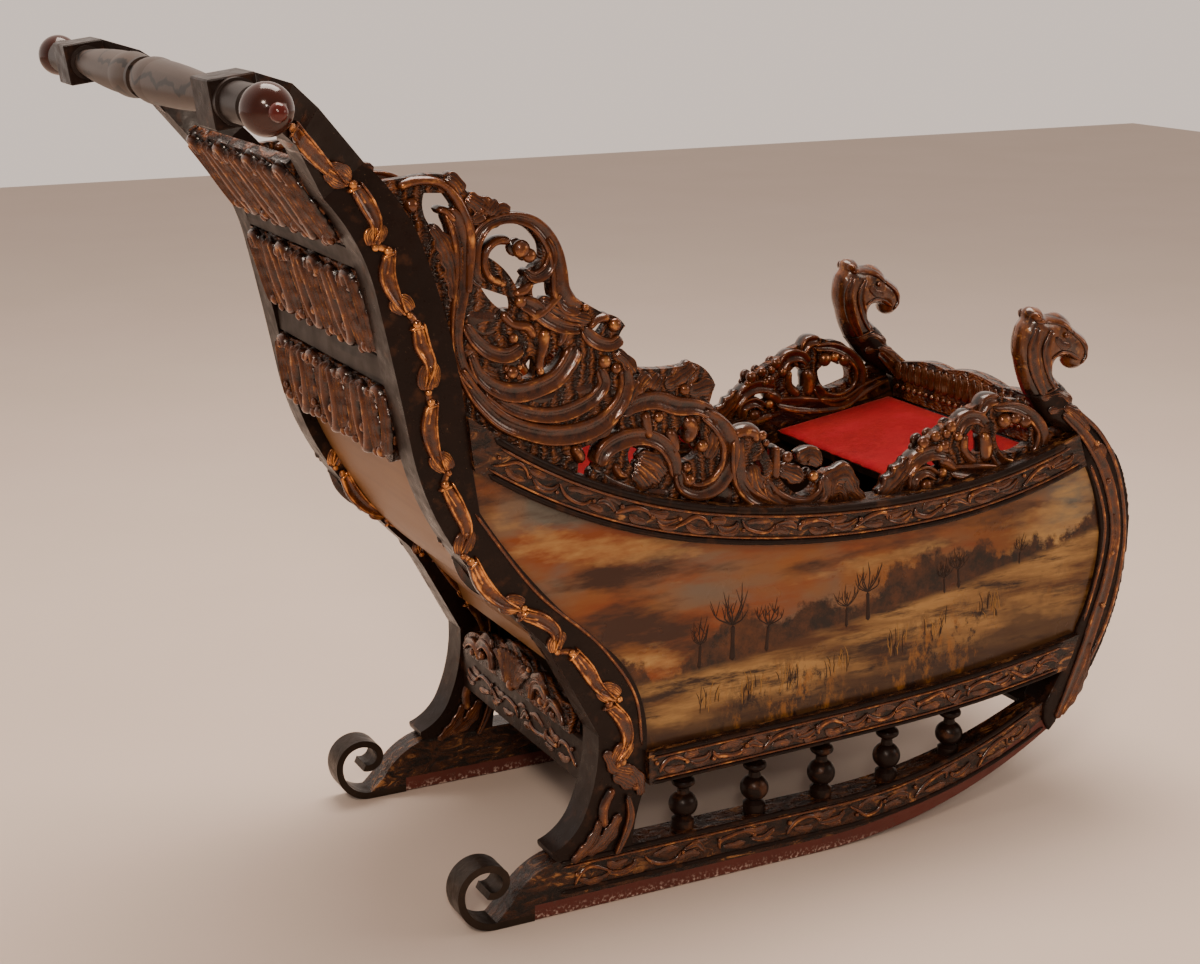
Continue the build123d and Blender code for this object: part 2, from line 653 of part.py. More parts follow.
# Sloping board behind the heads, covered with velvet tacked over its top.
BOARD_REAR = (190.0, 438.0)
BOARD_FRONT = (389.0, 469.0)
board_thickness = 10.0
velvet_thickness = 4.0
board_slope = math.degrees(math.atan2(BOARD_FRONT[1] - BOARD_REAR[1], BOARD_FRONT[0] - BOARD_REAR[0]))
board_length = math.hypot(BOARD_FRONT[0] - BOARD_REAR[0], BOARD_FRONT[1] - BOARD_REAR[1])
slope_plane = Plane(
    origin=(drawing_shift + BOARD_REAR[0], 0, BOARD_REAR[1]), x_dir=(0, 1, 0),
    z_dir=(-math.sin(math.radians(board_slope)), 0, math.cos(math.radians(board_slope))),
)
with BuildPart() as front_board:
    with BuildSketch(slope_plane):
        Rectangle(2 * (rail_inner - fit), board_length, align=(Align.CENTER, Align.MAX))
    extrude(amount=-board_thickness)
save(front_board.part, "front_board")

with BuildPart() as velvet:
    with BuildSketch(slope_plane.offset(fit)):
        Rectangle(2 * (rail_inner - 1), board_length - 8, align=(Align.CENTER, Align.MAX))
    extrude(amount=velvet_thickness)
save(velvet.part, "front_board_velvet")

# Carved crest board between the stems, above the curved front panel.
crest_board_x = 380.0
crest_board_z = 474.0
with BuildPart() as crest_board:
    with BuildSketch(cross_plane(crest_board_x, crest_board_z)):
        half = inner_face - fit
        with BuildLine():
            outline((
                (-half, 0, 0), (-half, 50, 0), (-half + 50, 60, 4), (-60, 62, 8),
                (60, 62, 4), (half - 50, 60, 0), (half, 50, 0), (half, 0, 0),
            ))
        make_face()
    extrude(amount=-18)
save(crest_board.part, "front_crest_board")

with BuildPart() as front_panel:
    with BuildSketch(side_plane(0)):
        with BuildLine():
            outline((
                (350, 125, 3), (430, 203, 5), (466, 360, 8), (444, 456, 0), (410, 473.7, 0),
                (402, 467, 0), (436, 450, -8), (458, 360, -5), (422, 206, -3), (346, 133, 0),
            ))
        make_face()
    extrude(amount=inner_face - fit, both=True)
save(front_panel.part, "front_panel")
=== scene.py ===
import json
import math

import bmesh
import bpy
import numpy as np
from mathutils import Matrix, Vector
from mathutils.bvhtree import BVHTree


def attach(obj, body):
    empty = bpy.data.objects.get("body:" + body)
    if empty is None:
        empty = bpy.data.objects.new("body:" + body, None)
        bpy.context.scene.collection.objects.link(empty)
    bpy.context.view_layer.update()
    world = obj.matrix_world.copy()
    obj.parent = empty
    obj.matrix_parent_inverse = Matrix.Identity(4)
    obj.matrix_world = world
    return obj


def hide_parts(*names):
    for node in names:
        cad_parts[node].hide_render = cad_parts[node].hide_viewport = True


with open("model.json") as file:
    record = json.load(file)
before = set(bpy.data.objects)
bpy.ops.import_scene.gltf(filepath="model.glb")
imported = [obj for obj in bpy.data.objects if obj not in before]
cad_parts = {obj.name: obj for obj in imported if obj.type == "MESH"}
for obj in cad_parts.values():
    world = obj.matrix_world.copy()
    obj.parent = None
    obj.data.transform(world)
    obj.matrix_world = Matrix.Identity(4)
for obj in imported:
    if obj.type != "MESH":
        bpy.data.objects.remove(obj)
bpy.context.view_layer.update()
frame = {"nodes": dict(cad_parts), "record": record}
NODES = frame["nodes"]

# Camera and lights: the view was solved from the photo, places in metres and angles in degrees

CAMERA_PLACE = (-1.1584, -2.1893, 1.1477)
CAMERA_AZIMUTH = -26.912
CAMERA_ELEVATION = 15.635
CAMERA_LENS = 60.34
CAMERA_SENSOR = 36.0

scene = bpy.context.scene
camera = bpy.data.objects.new("camera", bpy.data.cameras.new("camera"))
scene.collection.objects.link(camera)
azimuth, elevation = math.radians(CAMERA_AZIMUTH), math.radians(CAMERA_ELEVATION)
level = math.cos(elevation)
back = Vector((math.sin(azimuth) * level, -math.cos(azimuth) * level, math.sin(elevation)))
camera.location = CAMERA_PLACE
camera.rotation_mode = "QUATERNION"
camera.rotation_quaternion = (-back).to_track_quat("-Z", "Y")
camera.data.lens = CAMERA_LENS
camera.data.sensor_width = CAMERA_SENSOR
scene.camera = camera


def area_light(name, place, aim, size, power, colour):
    """Rectangular lamp that looks at a point."""
    light = bpy.data.lights.new(name, "AREA")
    light.shape = "RECTANGLE"
    light.size, light.size_y = size
    light.energy = power
    light.color = colour
    lamp = bpy.data.objects.new(name, light)
    scene.collection.objects.link(lamp)
    lamp.location = place
    lamp.rotation_mode = "QUATERNION"
    lamp.rotation_quaternion = (Vector(aim) - Vector(place)).to_track_quat("-Z", "Y")


area_light("key_light", (-2.4, -3.4, 3.4), (0, 0, 0.45), (0.8, 0.6), 76, (1.0, 0.80, 0.64))
area_light("flash_light", (-1.35, -2.75, 1.75), (0, 0, 0.5), (0.20, 0.20), 17, (1.0, 0.88, 0.76))
area_light("fill_light", (2.8, -1.9, 1.6), (0, 0, 0.4), (1.2, 1.0), 16, (1.0, 0.82, 0.68))
area_light("top_light", (0.3, 0.6, 3.4), (0, 0, 0.3), (2.2, 1.6), 125, (1.0, 0.86, 0.75))

# Surroundings dimmer towards the camera, so that the dark varnish doesn't wash out
world = bpy.data.worlds.new("world")
scene.world = world
world.use_nodes = True
sky_nodes, sky_links = world.node_tree.nodes, world.node_tree.links
background = sky_nodes["Background"]
background.inputs["Color"].default_value = (1.0, 0.84, 0.74, 1)
place = sky_nodes.new("ShaderNodeTexCoord")
split = sky_nodes.new("ShaderNodeSeparateXYZ")
glow = sky_nodes.new("ShaderNodeMapRange")
glow.interpolation_type = "SMOOTHSTEP"
for name, value in (("From Min", -0.35), ("From Max", 0.55), ("To Min", 0.30), ("To Max", 0.95)):
    glow.inputs[name].default_value = value
sky_links.new(place.outputs["Generated"], split.inputs[0])
sky_links.new(split.outputs["Y"], glow.inputs["Value"])
sky_links.new(glow.outputs["Result"], background.inputs["Strength"])

# Materials

class Paint:
    """Small helper round one node tree; every texture reads object coordinates, in metres."""

    def __init__(self, name):
        self.material = bpy.data.materials.new(name)
        self.material.use_nodes = True
        self.tree = self.material.node_tree
        self.bsdf = self.tree.nodes["Principled BSDF"]
        self.place = self.node("ShaderNodeTexCoord").outputs["Object"]

    def node(self, kind, **settings):
        n = self.tree.nodes.new(kind)
        for key, value in settings.items():
            setattr(n, key, value)
        return n

    def put(self, socket, value):
        if hasattr(value, "links"):
            self.tree.links.new(value, socket)
        elif isinstance(value, tuple) and len(value) == 3 and socket.type == "RGBA":
            socket.default_value = (*value, 1)
        else:
            socket.default_value = value

    def stretch(self, scale, turn=(0, 0, 0), shift=(0, 0, 0)):
        n = self.node("ShaderNodeMapping")
        self.put(n.inputs["Vector"], self.place)
        n.inputs["Scale"].default_value = scale
        n.inputs["Rotation"].default_value = turn
        n.inputs["Location"].default_value = shift
        return n.outputs["Vector"]

    def noise(self, scale, detail=3.0, rough=0.55, vector=None, warp=0.0):
        n = self.node("ShaderNodeTexNoise")
        self.put(n.inputs["Vector"], vector or self.place)
        n.inputs["Scale"].default_value = scale
        n.inputs["Detail"].default_value = detail
        n.inputs["Roughness"].default_value = rough
        n.inputs["Distortion"].default_value = warp
        return n.outputs["Fac"]

    def waves(self, scale, warp, vector=None, detail=2.0, direction="X"):
        n = self.node("ShaderNodeTexWave", bands_direction=direction)
        self.put(n.inputs["Vector"], vector or self.place)
        n.inputs["Scale"].default_value = scale
        n.inputs["Distortion"].default_value = warp
        n.inputs["Detail"].default_value = detail
        return n.outputs["Fac"]

    def span(self, value, low, high, to_low=0.0, to_high=1.0):
        n = self.node("ShaderNodeMapRange")
        keys = ("Value", "From Min", "From Max", "To Min", "To Max")
        for key, v in zip(keys, (value, low, high, to_low, to_high)):
            self.put(n.inputs[key], v)
        return n.outputs["Result"]

    def between(self, scale, low, high, detail=3.0, rough=0.55):
        """A value that wanders from low to high with a plain noise."""
        return self.span(self.noise(scale, detail, rough), 0.3, 0.7, low, high)

    def math(self, kind, a, b=0.0):
        n = self.node("ShaderNodeMath", operation=kind)
        self.put(n.inputs[0], a)
        self.put(n.inputs[1], b)
        return n.outputs[0]

    def mix(self, share, a, b, kind="MIX"):
        n = self.node("ShaderNodeMix", data_type="RGBA", blend_type=kind)
        self.put(n.inputs["Factor"], share)
        self.put(n.inputs[6], a)
        self.put(n.inputs[7], b)
        return n.outputs[2]

    def axis(self, letter):
        n = self.node("ShaderNodeSeparateXYZ")
        self.put(n.inputs[0], self.place)
        return n.outputs[letter]

    def ridge(self):
        n = self.node("ShaderNodeAttribute", attribute_name="ridge")
        return n.outputs["Fac"]

    def bump(self, height, strength, distance):
        n = self.node("ShaderNodeBump")
        self.put(n.inputs["Height"], height)
        n.inputs["Strength"].default_value = strength
        n.inputs["Distance"].default_value = distance
        if self.bsdf.inputs["Normal"].links:
            self.put(n.inputs["Normal"], self.bsdf.inputs["Normal"].links[0].from_socket)
        self.put(self.bsdf.inputs["Normal"], n.outputs["Normal"])

    def set(self, **values):
        names = {"colour": "Base Color", "rough": "Roughness", "metal": "Metallic", "coat": "Coat Weight",
                 "coat_rough": "Coat Roughness", "sheen": "Sheen Weight", "sheen_rough": "Sheen Roughness",
                 "sheen_tint": "Sheen Tint", "specular": "Specular IOR Level"}
        for key, value in values.items():
            self.put(self.bsdf.inputs[names[key]], value)
        return self.material


def dark_varnish(name="dark_varnish", wear_and_highlight=1.0):
    p = Paint(name)
    tone = p.mix(p.noise(14, 4), (0.005, 0.0028, 0.0022), (0.018, 0.0075, 0.0045))
    tone = p.mix(p.math("MULTIPLY", p.span(p.noise(48, 5), 0.56, 0.76), wear_and_highlight), tone, (0.060, 0.022, 0.009))
    speck = p.span(p.noise(520, 2, 0.6), 0.71, 0.78)
    tone = p.mix(p.math("MULTIPLY", speck, p.span(p.noise(40), 0.45, 0.65)), tone, (0.30, 0.19, 0.11))
    p.bump(p.noise(260, 4), 0.25, 0.0006)
    p.bump(p.noise(38, 3), 0.25, 0.002)
    return p.set(colour=tone, rough=p.between(60, 0.22, 0.48, 4), coat=0.04, coat_rough=0.15, specular=0.16)


def bronze(name, shine=0.85, lift=0.0, wear_and_highlight=(0.78, 0.36, 0.11), patches=0.32):
    """Bronze paint under brown varnish: bright on the ridges as painted highlight, dark in the hollows as
    painted shade.
    """
    p = Paint(name)
    high = p.math("ADD", p.ridge(), lift)
    high = p.math("ADD", high, p.between(70, -1.3 * patches, patches, 5, 0.6))
    # Painted shade: low ridge values, the hollows, are painted near black
    tone = p.mix(p.span(high, 0.0, 0.55), (0.007, 0.0027, 0.0015), (0.075, 0.020, 0.0055))
    tone = p.mix(p.span(high, 0.55, 1.05), tone, (0.19, 0.054, 0.0115))
    # Painted highlight: the ridge tops take the last colour given, scaled by shine
    tone = p.mix(p.math("MULTIPLY", p.span(high, 0.92, 1.30), shine), tone, wear_and_highlight)
    speck = p.span(p.noise(430, 2), 0.66, 0.76)
    tone = p.mix(p.math("MULTIPLY", speck, 0.5), tone, (0.02, 0.010, 0.006))
    p.bump(p.noise(180, 4), 0.4, 0.0009)
    p.bump(p.noise(34, 3), 0.3, 0.003)
    metal = p.span(high, 0.45, 1.0, 0.1, 0.6)
    return p.set(colour=tone, rough=p.between(90, 0.11, 0.32), metal=metal, coat=0.35, coat_rough=0.08)


def carved_ground():
    """The board behind the open scrolls, cut into shallow flowing hollows under brown varnish, with painted
    shade in the hollows and painted highlight on the raised parts.
    """
    p = Paint("carved_board")
    flow = p.waves(20, 11, detail=3.0)
    veins = p.waves(64, 16, detail=3.0, direction="Z")
    cut = p.math("ADD", p.math("MULTIPLY", flow, 0.7), p.math("MULTIPLY", veins, 0.3))
    # Painted shade: the hollows of the cut are painted darker than its raised parts
    tone = p.mix(p.span(cut, 0.25, 0.8), (0.014, 0.0045, 0.002), (0.120, 0.034, 0.009))
    # Partly wear, partly painted highlight: the highest parts of the cut are lighter, in patches
    wear_and_highlight = p.math("MULTIPLY", p.span(cut, 0.72, 0.95), p.span(p.noise(30, 4), 0.4, 0.65))
    tone = p.mix(wear_and_highlight, tone, (0.24, 0.075, 0.017))
    p.bump(flow, 0.9, 0.006)
    p.bump(veins, 0.6, 0.002)
    p.bump(p.noise(200, 3), 0.3, 0.0007)
    return p.set(colour=tone, rough=p.between(80, 0.18, 0.42), coat=0.15, coat_rough=0.12, specular=0.35)


def rail_ground():
    """Moulded rail: low cut ornament rubbed down to brown, with bronze glints on its raised parts as gilding
    brightened by painted highlight, and near black painted shade in its hollows.
    """
    p = Paint("rail_ground")
    cut = p.noise(75, 6, 0.62, vector=p.stretch((0.42, 1, 1), turn=(0, 0.12, 0)), warp=1.4)
    # Painted shade: near black in the hollows of the cut, brown on its raised parts
    tone = p.mix(p.span(cut, 0.42, 0.60), (0.006, 0.003, 0.0022), (0.060, 0.0175, 0.005))
    # Gilding with painted highlight: bronze glints on the highest parts of the cut, in patches
    glint = p.math("MULTIPLY", p.span(cut, 0.57, 0.66), p.span(p.noise(16, 4), 0.42, 0.60))
    tone = p.mix(glint, tone, (0.42, 0.185, 0.060))
    p.bump(cut, 0.9, 0.003)
    p.bump(p.noise(220, 3), 0.3, 0.0006)
    metal = p.span(glint, 0.2, 0.8, 0.0, 0.4)
    rough = p.between(80, 0.16, 0.40)
    return p.set(colour=tone, rough=rough, metal=metal, coat=0.2, coat_rough=0.10, specular=0.3)


def red_paint():
    p = Paint("red_paint")
    tone = p.mix(p.noise(9, 5), (0.060, 0.010, 0.006), (0.125, 0.022, 0.011))
    chips = p.span(p.noise(130, 5, 0.7), 0.60, 0.66)
    tone = p.mix(chips, tone, (0.075, 0.026, 0.016))
    low = p.span(p.axis("Z"), 0.014, 0.0)
    pale = p.math("MULTIPLY", low, p.span(p.noise(240, 4), 0.52, 0.62))
    tone = p.mix(pale, tone, (0.55, 0.40, 0.33))
    p.bump(p.noise(150, 5), 0.5, 0.001)
    return p.set(colour=tone, rough=p.between(50, 0.42, 0.72))


def velvet():
    p = Paint("red_velvet")
    nap = p.span(p.noise(13, 5, 0.62, warp=0.8), 0.3, 0.7)
    tone = p.mix(nap, (0.085, 0.001, 0.004), (0.23, 0.003, 0.010))
    patch = p.span(p.noise(34, 6, 0.7, warp=1.6), 0.50, 0.72)
    tone = p.mix(p.math("MULTIPLY", patch, 0.6), tone, (0.30, 0.012, 0.010))
    tone = p.mix(p.span(p.noise(900, 2), 0.42, 0.7), tone, (0.30, 0.006, 0.014))
    p.bump(p.noise(1100, 3), 0.6, 0.0009)
    p.bump(p.noise(60, 3), 0.3, 0.002)
    p.set(sheen=0.5, sheen_rough=0.35, sheen_tint=(1.0, 0.16, 0.12, 1))
    return p.set(colour=tone, rough=0.9, specular=0.08)


def tan_board():
    p = Paint("tan_board")
    tone = p.mix(p.noise(6, 4), (0.165, 0.070, 0.022), (0.275, 0.130, 0.044))
    streaks = p.noise(40, 4, vector=p.stretch((1, 0.08, 1)))
    tone = p.mix(p.span(streaks, 0.5, 0.8), tone, (0.16, 0.070, 0.026))
    p.bump(p.noise(200, 3), 0.2, 0.0005)
    return p.set(colour=tone, rough=0.45, coat=0.04, coat_rough=0.2, specular=0.2)


def worn_wood(name, grain):
    p = Paint(name)
    along = p.stretch(grain)
    tone = p.mix(p.noise(60, 5, vector=along), (0.017, 0.012, 0.010), (0.052, 0.038, 0.031))
    tone = p.mix(p.span(p.noise(22, 4, vector=along, warp=1.5), 0.55, 0.62), tone, (0.008, 0.005, 0.004))
    p.bump(p.noise(240, 4, vector=along), 0.35, 0.0008)
    return p.set(colour=tone, rough=p.between(30, 0.38, 0.6), specular=0.25)


def plain_wood():
    p = Paint("plain_wood")
    along = p.stretch((0.08, 1, 1))
    tone = p.mix(p.noise(70, 5, vector=along), (0.070, 0.037, 0.020), (0.165, 0.092, 0.050))
    p.bump(p.noise(240, 4, vector=along), 0.3, 0.0006)
    return p.set(colour=tone, rough=0.55)


def iron():
    p = Paint("iron")
    tone = p.mix(p.noise(60, 5), (0.012, 0.009, 0.007), (0.055, 0.034, 0.022))
    p.bump(p.noise(220, 4), 0.5, 0.0008)
    return p.set(colour=tone, rough=p.between(80, 0.28, 0.55), metal=0.7)


def handle_bar():
    """Worn grey rod with burnt wavy lines, dark ring and necks, red-brown balls with a red button."""
    p = Paint("handle_bar")
    along = p.stretch((1, 0.10, 1))
    rod = p.mix(p.noise(60, 5, vector=along), (0.026, 0.016, 0.012), (0.085, 0.056, 0.042))
    lines = p.waves(9, 7.0, vector=p.stretch((1, 1.6, 1)), detail=3, direction="Z")
    rod = p.mix(p.span(lines, 0.90, 0.97), rod, (0.008, 0.005, 0.004))
    neck = p.mix(p.noise(30, 4), (0.006, 0.004, 0.003), (0.026, 0.013, 0.009))
    ball = p.mix(p.noise(25, 3), (0.022, 0.0045, 0.0025), (0.060, 0.013, 0.006))
    button = (0.085, 0.010, 0.006)
    reach = p.math("ABSOLUTE", p.axis("Y"))
    # Metres from the middle at which each colour gives way to the next
    tone = p.mix(p.span(reach, 0.0048, 0.0052), neck, rod)
    tone = p.mix(p.span(reach, 0.262, 0.266), tone, neck)
    tone = p.mix(p.span(reach, 0.3965, 0.3985), tone, ball)
    tone = p.mix(p.span(reach, 0.4450, 0.4458), tone, button)
    p.bump(p.noise(200, 4), 0.2, 0.0006)
    return p.set(colour=tone, rough=p.span(reach, 0.396, 0.399, 0.42, 0.16), specular=0.3,
                 coat=p.span(reach, 0.396, 0.399, 0.03, 0.35), coat_rough=0.08)


def painted_board():
    """A plain warm landscape browned by old varnish: clouded sky, dark far wood, pale ground and scrub."""
    p = Paint("painted_board")
    along, height = p.axis("X"), p.axis("Z")
    tilt = p.math("MULTIPLY", p.math("POWER", p.math("ADD", along, 0.20), 2.0), 0.16)
    level = p.math("SUBTRACT", height, tilt)
    lift = p.math("ADD", level, p.span(p.noise(6, 4), 0, 1, -0.022, 0.022))

    def patches(scale, low, high, shape, turn=0.0, shift=(0, 0, 0), detail=6, rough=0.6):
        """Share of a colour laid on in stretched patches."""
        vector = p.stretch(shape, turn=(0, turn, 0), shift=shift)
        return p.span(p.noise(scale, detail, rough, vector=vector), low, high)

    def under(value, texture):
        return p.math("SUBTRACT", value, texture)

    # Clouds, each layer over the one before
    haze = p.span(p.noise(3.6, 4, 0.6, warp=0.6), 0.40, 0.60)
    sky = p.mix(haze, (0.230, 0.080, 0.014), (0.120, 0.108, 0.085))
    sky = p.mix(patches(6, 0.47, 0.60, (0.55, 1, 2.0), 0.25, rough=0.62), sky, (0.205, 0.045, 0.005))
    sky = p.mix(patches(8, 0.52, 0.64, (0.5, 1, 2.2), 0.2, (3, 0, 1)), sky, (0.040, 0.012, 0.004))
    sky = p.mix(patches(7, 0.52, 0.66, (0.6, 1, 2.0), shift=(7, 0, 4)), sky, (0.44, 0.255, 0.085))
    # Far wood with ragged crowns above the shore
    shore = under(lift, p.span(p.noise(3.0, 3), 0, 1, 0.262, 0.300))
    tops = p.noise(9, 3, 0.5, vector=p.stretch((1, 1, 0.1)))
    crowns = under(shore, p.span(tops, 0.32, 0.68, -0.012, 0.075))
    crowns = under(crowns, p.between(60, -0.012, 0.016, 6, 0.7))
    wood = p.mix(p.span(p.noise(34, 6, 0.75), 0.38, 0.66), (0.010, 0.004, 0.002), (0.100, 0.030, 0.006))
    tone = p.mix(p.span(crowns, 0.006, -0.006), sky, wood)
    # Open ground, darker towards its foot, with scrub and gold grass
    field = patches(9, 0.40, 0.60, (0.40, 1, 2.6), -0.12, rough=0.62)
    ground = p.mix(field, (0.085, 0.028, 0.005), (0.42, 0.235, 0.075))
    earth = patches(13, 0.49, 0.60, (0.4, 1, 2.2), shift=(2, 0, 5), rough=0.7)
    ground = p.mix(earth, ground, (0.026, 0.009, 0.003))
    tone = p.mix(p.span(shore, 0.004, -0.006), tone, ground)
    depth = p.noise(7, 5, 0.6, vector=p.stretch((0.6, 1, 1.5), shift=(5, 0, 2)))
    deep = p.math("ADD", shore, p.span(depth, 0.3, 0.7, -0.05, 0.05))
    tone = p.mix(p.span(deep, -0.055, -0.085, 0.0, 0.8), tone, (0.042, 0.014, 0.004))
    near = p.math("MULTIPLY", p.span(shore, -0.010, -0.05), p.span(p.noise(5, 3), 0.44, 0.56))
    scrub = patches(42, 0.50, 0.60, (1, 1, 0.6), detail=7, rough=0.78)
    tone = p.mix(p.math("MULTIPLY", scrub, near), tone, (0.018, 0.006, 0.003))
    gold = patches(70, 0.52, 0.64, (1, 1, 0.5), shift=(4, 1, 0), rough=0.75)
    tone = p.mix(p.math("MULTIPLY", gold, p.math("MULTIPLY", near, 0.8)), tone, (0.34, 0.135, 0.020))
    # Old varnish, and the plain inner face of the board
    browned = p.mix(1.0, tone, (0.40, 0.27, 0.18), "MULTIPLY")
    tone = p.mix(p.span(p.noise(2.2, 3), 0.42, 0.72, 0.0, 0.6), tone, browned)
    inside = p.span(p.math("ABSOLUTE", p.axis("Y")), 0.2200, 0.2196)
    tone = p.mix(inside, tone, (0.025, 0.012, 0.007))
    p.bump(p.noise(120, 4), 0.25, 0.0006)
    return p.set(colour=tone, rough=p.between(20, 0.24, 0.42), coat=0.15, coat_rough=0.15, specular=0.3)


def brush_paint(name, low, high):
    p = Paint(name)
    p.bump(p.noise(300, 3), 0.3, 0.0004)
    return p.set(colour=p.mix(p.noise(90, 4), low, high), rough=p.between(60, 0.35, 0.5), specular=0.3)


def head_brown():
    """Amber brown varnish over carved wood, streaked down the neck."""
    p = Paint("head_brown")
    streak = p.noise(70, 4, 0.6, vector=p.stretch((1, 1, 0.22)))
    tone = p.mix(p.span(streak, 0.36, 0.62), (0.030, 0.009, 0.0035), (0.150, 0.044, 0.010))
    tone = p.mix(p.span(p.noise(120, 4), 0.58, 0.70), tone, (0.30, 0.125, 0.035))
    low = p.math("ADD", p.axis("Z"), p.span(p.noise(40, 4), 0, 1, -0.02, 0.02))
    tone = p.mix(p.span(low, 0.590, 0.572), tone, (0.012, 0.005, 0.003))
    p.bump(p.noise(160, 4), 0.4, 0.0009)
    p.bump(streak, 0.4, 0.002)
    return p.set(colour=tone, rough=p.between(90, 0.14, 0.34), coat=0.45, coat_rough=0.08)


MATERIALS = {
    "dark_varnish": dark_varnish(),
    "gilt_carving": carved_ground(),
    "gilt_moulding": rail_ground(),
    "red_paint": red_paint(),
    "red_velvet": velvet(),
    "tan_board": tan_board(),
    "worn_wood": worn_wood("worn_wood", (1, 0.08, 1)),
    "plain_wood": plain_wood(),
    "iron": iron(),
    "painted_board": painted_board(),
}
GILT = bronze("bronze_carving")
DARK = MATERIALS["dark_varnish"]
HEAD_BROWN = head_brown()
# The chain's last colour given is its painted highlight on the ridge tops, brighter than the other carving's
CHAIN = bronze("chain_bronze", 1.0, 0.22, (0.80, 0.33, 0.085), 0.36)
for row in frame["record"]["subparts"]:
    slots = NODES[row["node"]].data.materials
    slots.clear()
    slots.append(MATERIALS[row["material_slot"]])
NODES["handle_bar"].data.materials[0] = handle_bar()
for hand in ("left", "right"):
    NODES["balusters_" + hand].data.materials[0] = dark_varnish("turned_varnish_" + hand, 2.0)

# Carving: every scroll, leaf and bead is a stroke swept along a curve, drawn in millimetres

MM = 0.001
SHIFT = 148.2           # from the side drawing's x to the frame's x
FRAME_Y = 207.0         # middle plane of a side frame
OUTER_FACE = 229.5      # post and stem, seen from outside
INNER_FACE = 184.5      # and from inside the sled
RAIL_FACE = 236.8
RUNNER_FACE = 224.8
PANEL_FACE = 225.0
HEAD_FACES = ((226.0, 1), (188.0, -1))
HORN_START = 870.0      # height at which a post leaves its plane
HORN_FACE = 230.0
HANDS = ((-1, "right"), (1, "left"))


def side_face(side, y, out):
    """Drawing plane of a side frame: origin, forward, up and the way its face looks (out is 1 or -1)."""
    origin, outward = np.array([SHIFT, side * y, 0]), np.array([0, side * out, 0])
    return origin, np.array([1, 0, 0]), np.array([0, 0, 1]), outward


# Cross-sections, one row a point: share of the half width, share of the height, ridge
SECTIONS = {
    "round": ((-1, 0.05, 0.0), (-0.86, 0.5, 0.3), (-0.5, 0.86, 0.75), (0, 1.0, 1.0), (0.5, 0.86, 0.75),
              (0.86, 0.5, 0.3), (1, 0.05, 0.0)),
    "flute": ((-1, 0.1, 0.0), (-0.92, 0.66, 0.4), (-0.72, 1.0, 1.0), (-0.46, 0.82, 0.7), (-0.1, 0.56, 0.35),
              (0.3, 0.66, 0.4), (0.7, 0.92, 0.9), (0.92, 0.66, 0.5), (1, 0.1, 0.0)),
    "leaf": ((-1, 0.1, 0.1), (-0.84, 0.66, 0.9), (-0.62, 0.5, 0.3), (-0.36, 0.84, 0.9), (-0.16, 0.68, 0.35),
             (0, 1.0, 1.0), (0.16, 0.68, 0.35), (0.36, 0.84, 0.9), (0.62, 0.5, 0.3), (0.84, 0.66, 0.9),
             (1, 0.1, 0.1)),
    "plate": ((-1, 0.3, 0.0), (-0.9, 0.66, 0.3), (-0.3, 0.6, 0.2), (0.3, 0.64, 0.25), (0.9, 0.66, 0.3),
              (1, 0.3, 0.0)),
}


def foot_run(points):
    """Distance along a line of points, from its start to each of them."""
    return np.concatenate(([0], np.cumsum(np.linalg.norm(np.diff(points, axis=0), axis=1))))


def new_mesh(name, points, faces):
    """Mesh with all its faces looking outward."""
    mesh = bpy.data.meshes.new(name)
    mesh.from_pydata(points, [], faces)
    bm = bmesh.new()
    bm.from_mesh(mesh)
    bmesh.ops.recalc_face_normals(bm, faces=bm.faces)
    bm.to_mesh(mesh)
    bm.free()
    return mesh


def new_piece(name, mesh):
    piece = bpy.data.objects.new(name, mesh)
    scene.collection.objects.link(piece)
    return piece


def dress(piece, material):
    """Gives a finished piece its material and its place on the body."""
    piece.data.materials.clear()
    piece.data.materials.append(material)
    piece.data.shade_smooth()
    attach(piece, "root")


def bake(piece):
    """Turns a piece's modifiers into plain mesh and gives that mesh."""
    bpy.context.view_layer.update()
    done = bpy.data.meshes.new_from_object(piece.evaluated_get(bpy.context.evaluated_depsgraph_get()))
    piece.modifiers.clear()
    piece.data = done
    return done


def coordinates(mesh):
    """The mesh's points as an array, one row a point."""
    points = np.empty(3 * len(mesh.vertices), np.float32)
    mesh.vertices.foreach_get("co", points)
    return points.reshape(-1, 3)


def smooth_path(points, step):
    """Smooth curve through the points, sampled about every step; rows keep their extra columns."""
    p = np.array(points, float)
    gaps = np.maximum(np.linalg.norm(np.diff(p[:, :2], axis=0), axis=1), 0.01)
    t = np.concatenate(([0], np.cumsum(gaps)))
    slope = np.gradient(p, t, axis=0)
    rows = []
    for i, gap in enumerate(gaps):
        count = max(2, int(round(gap / step)))
        u = np.arange(count)[:, None] / count
        rows.append((2 * u**3 - 3 * u**2 + 1) * p[i] + (u**3 - 2 * u**2 + u) * gap * slope[i]
                    + (3 * u**2 - 2 * u**3) * p[i + 1] + (u**3 - u**2) * gap * slope[i + 1])
    return np.vstack(rows + [p[-1:]])


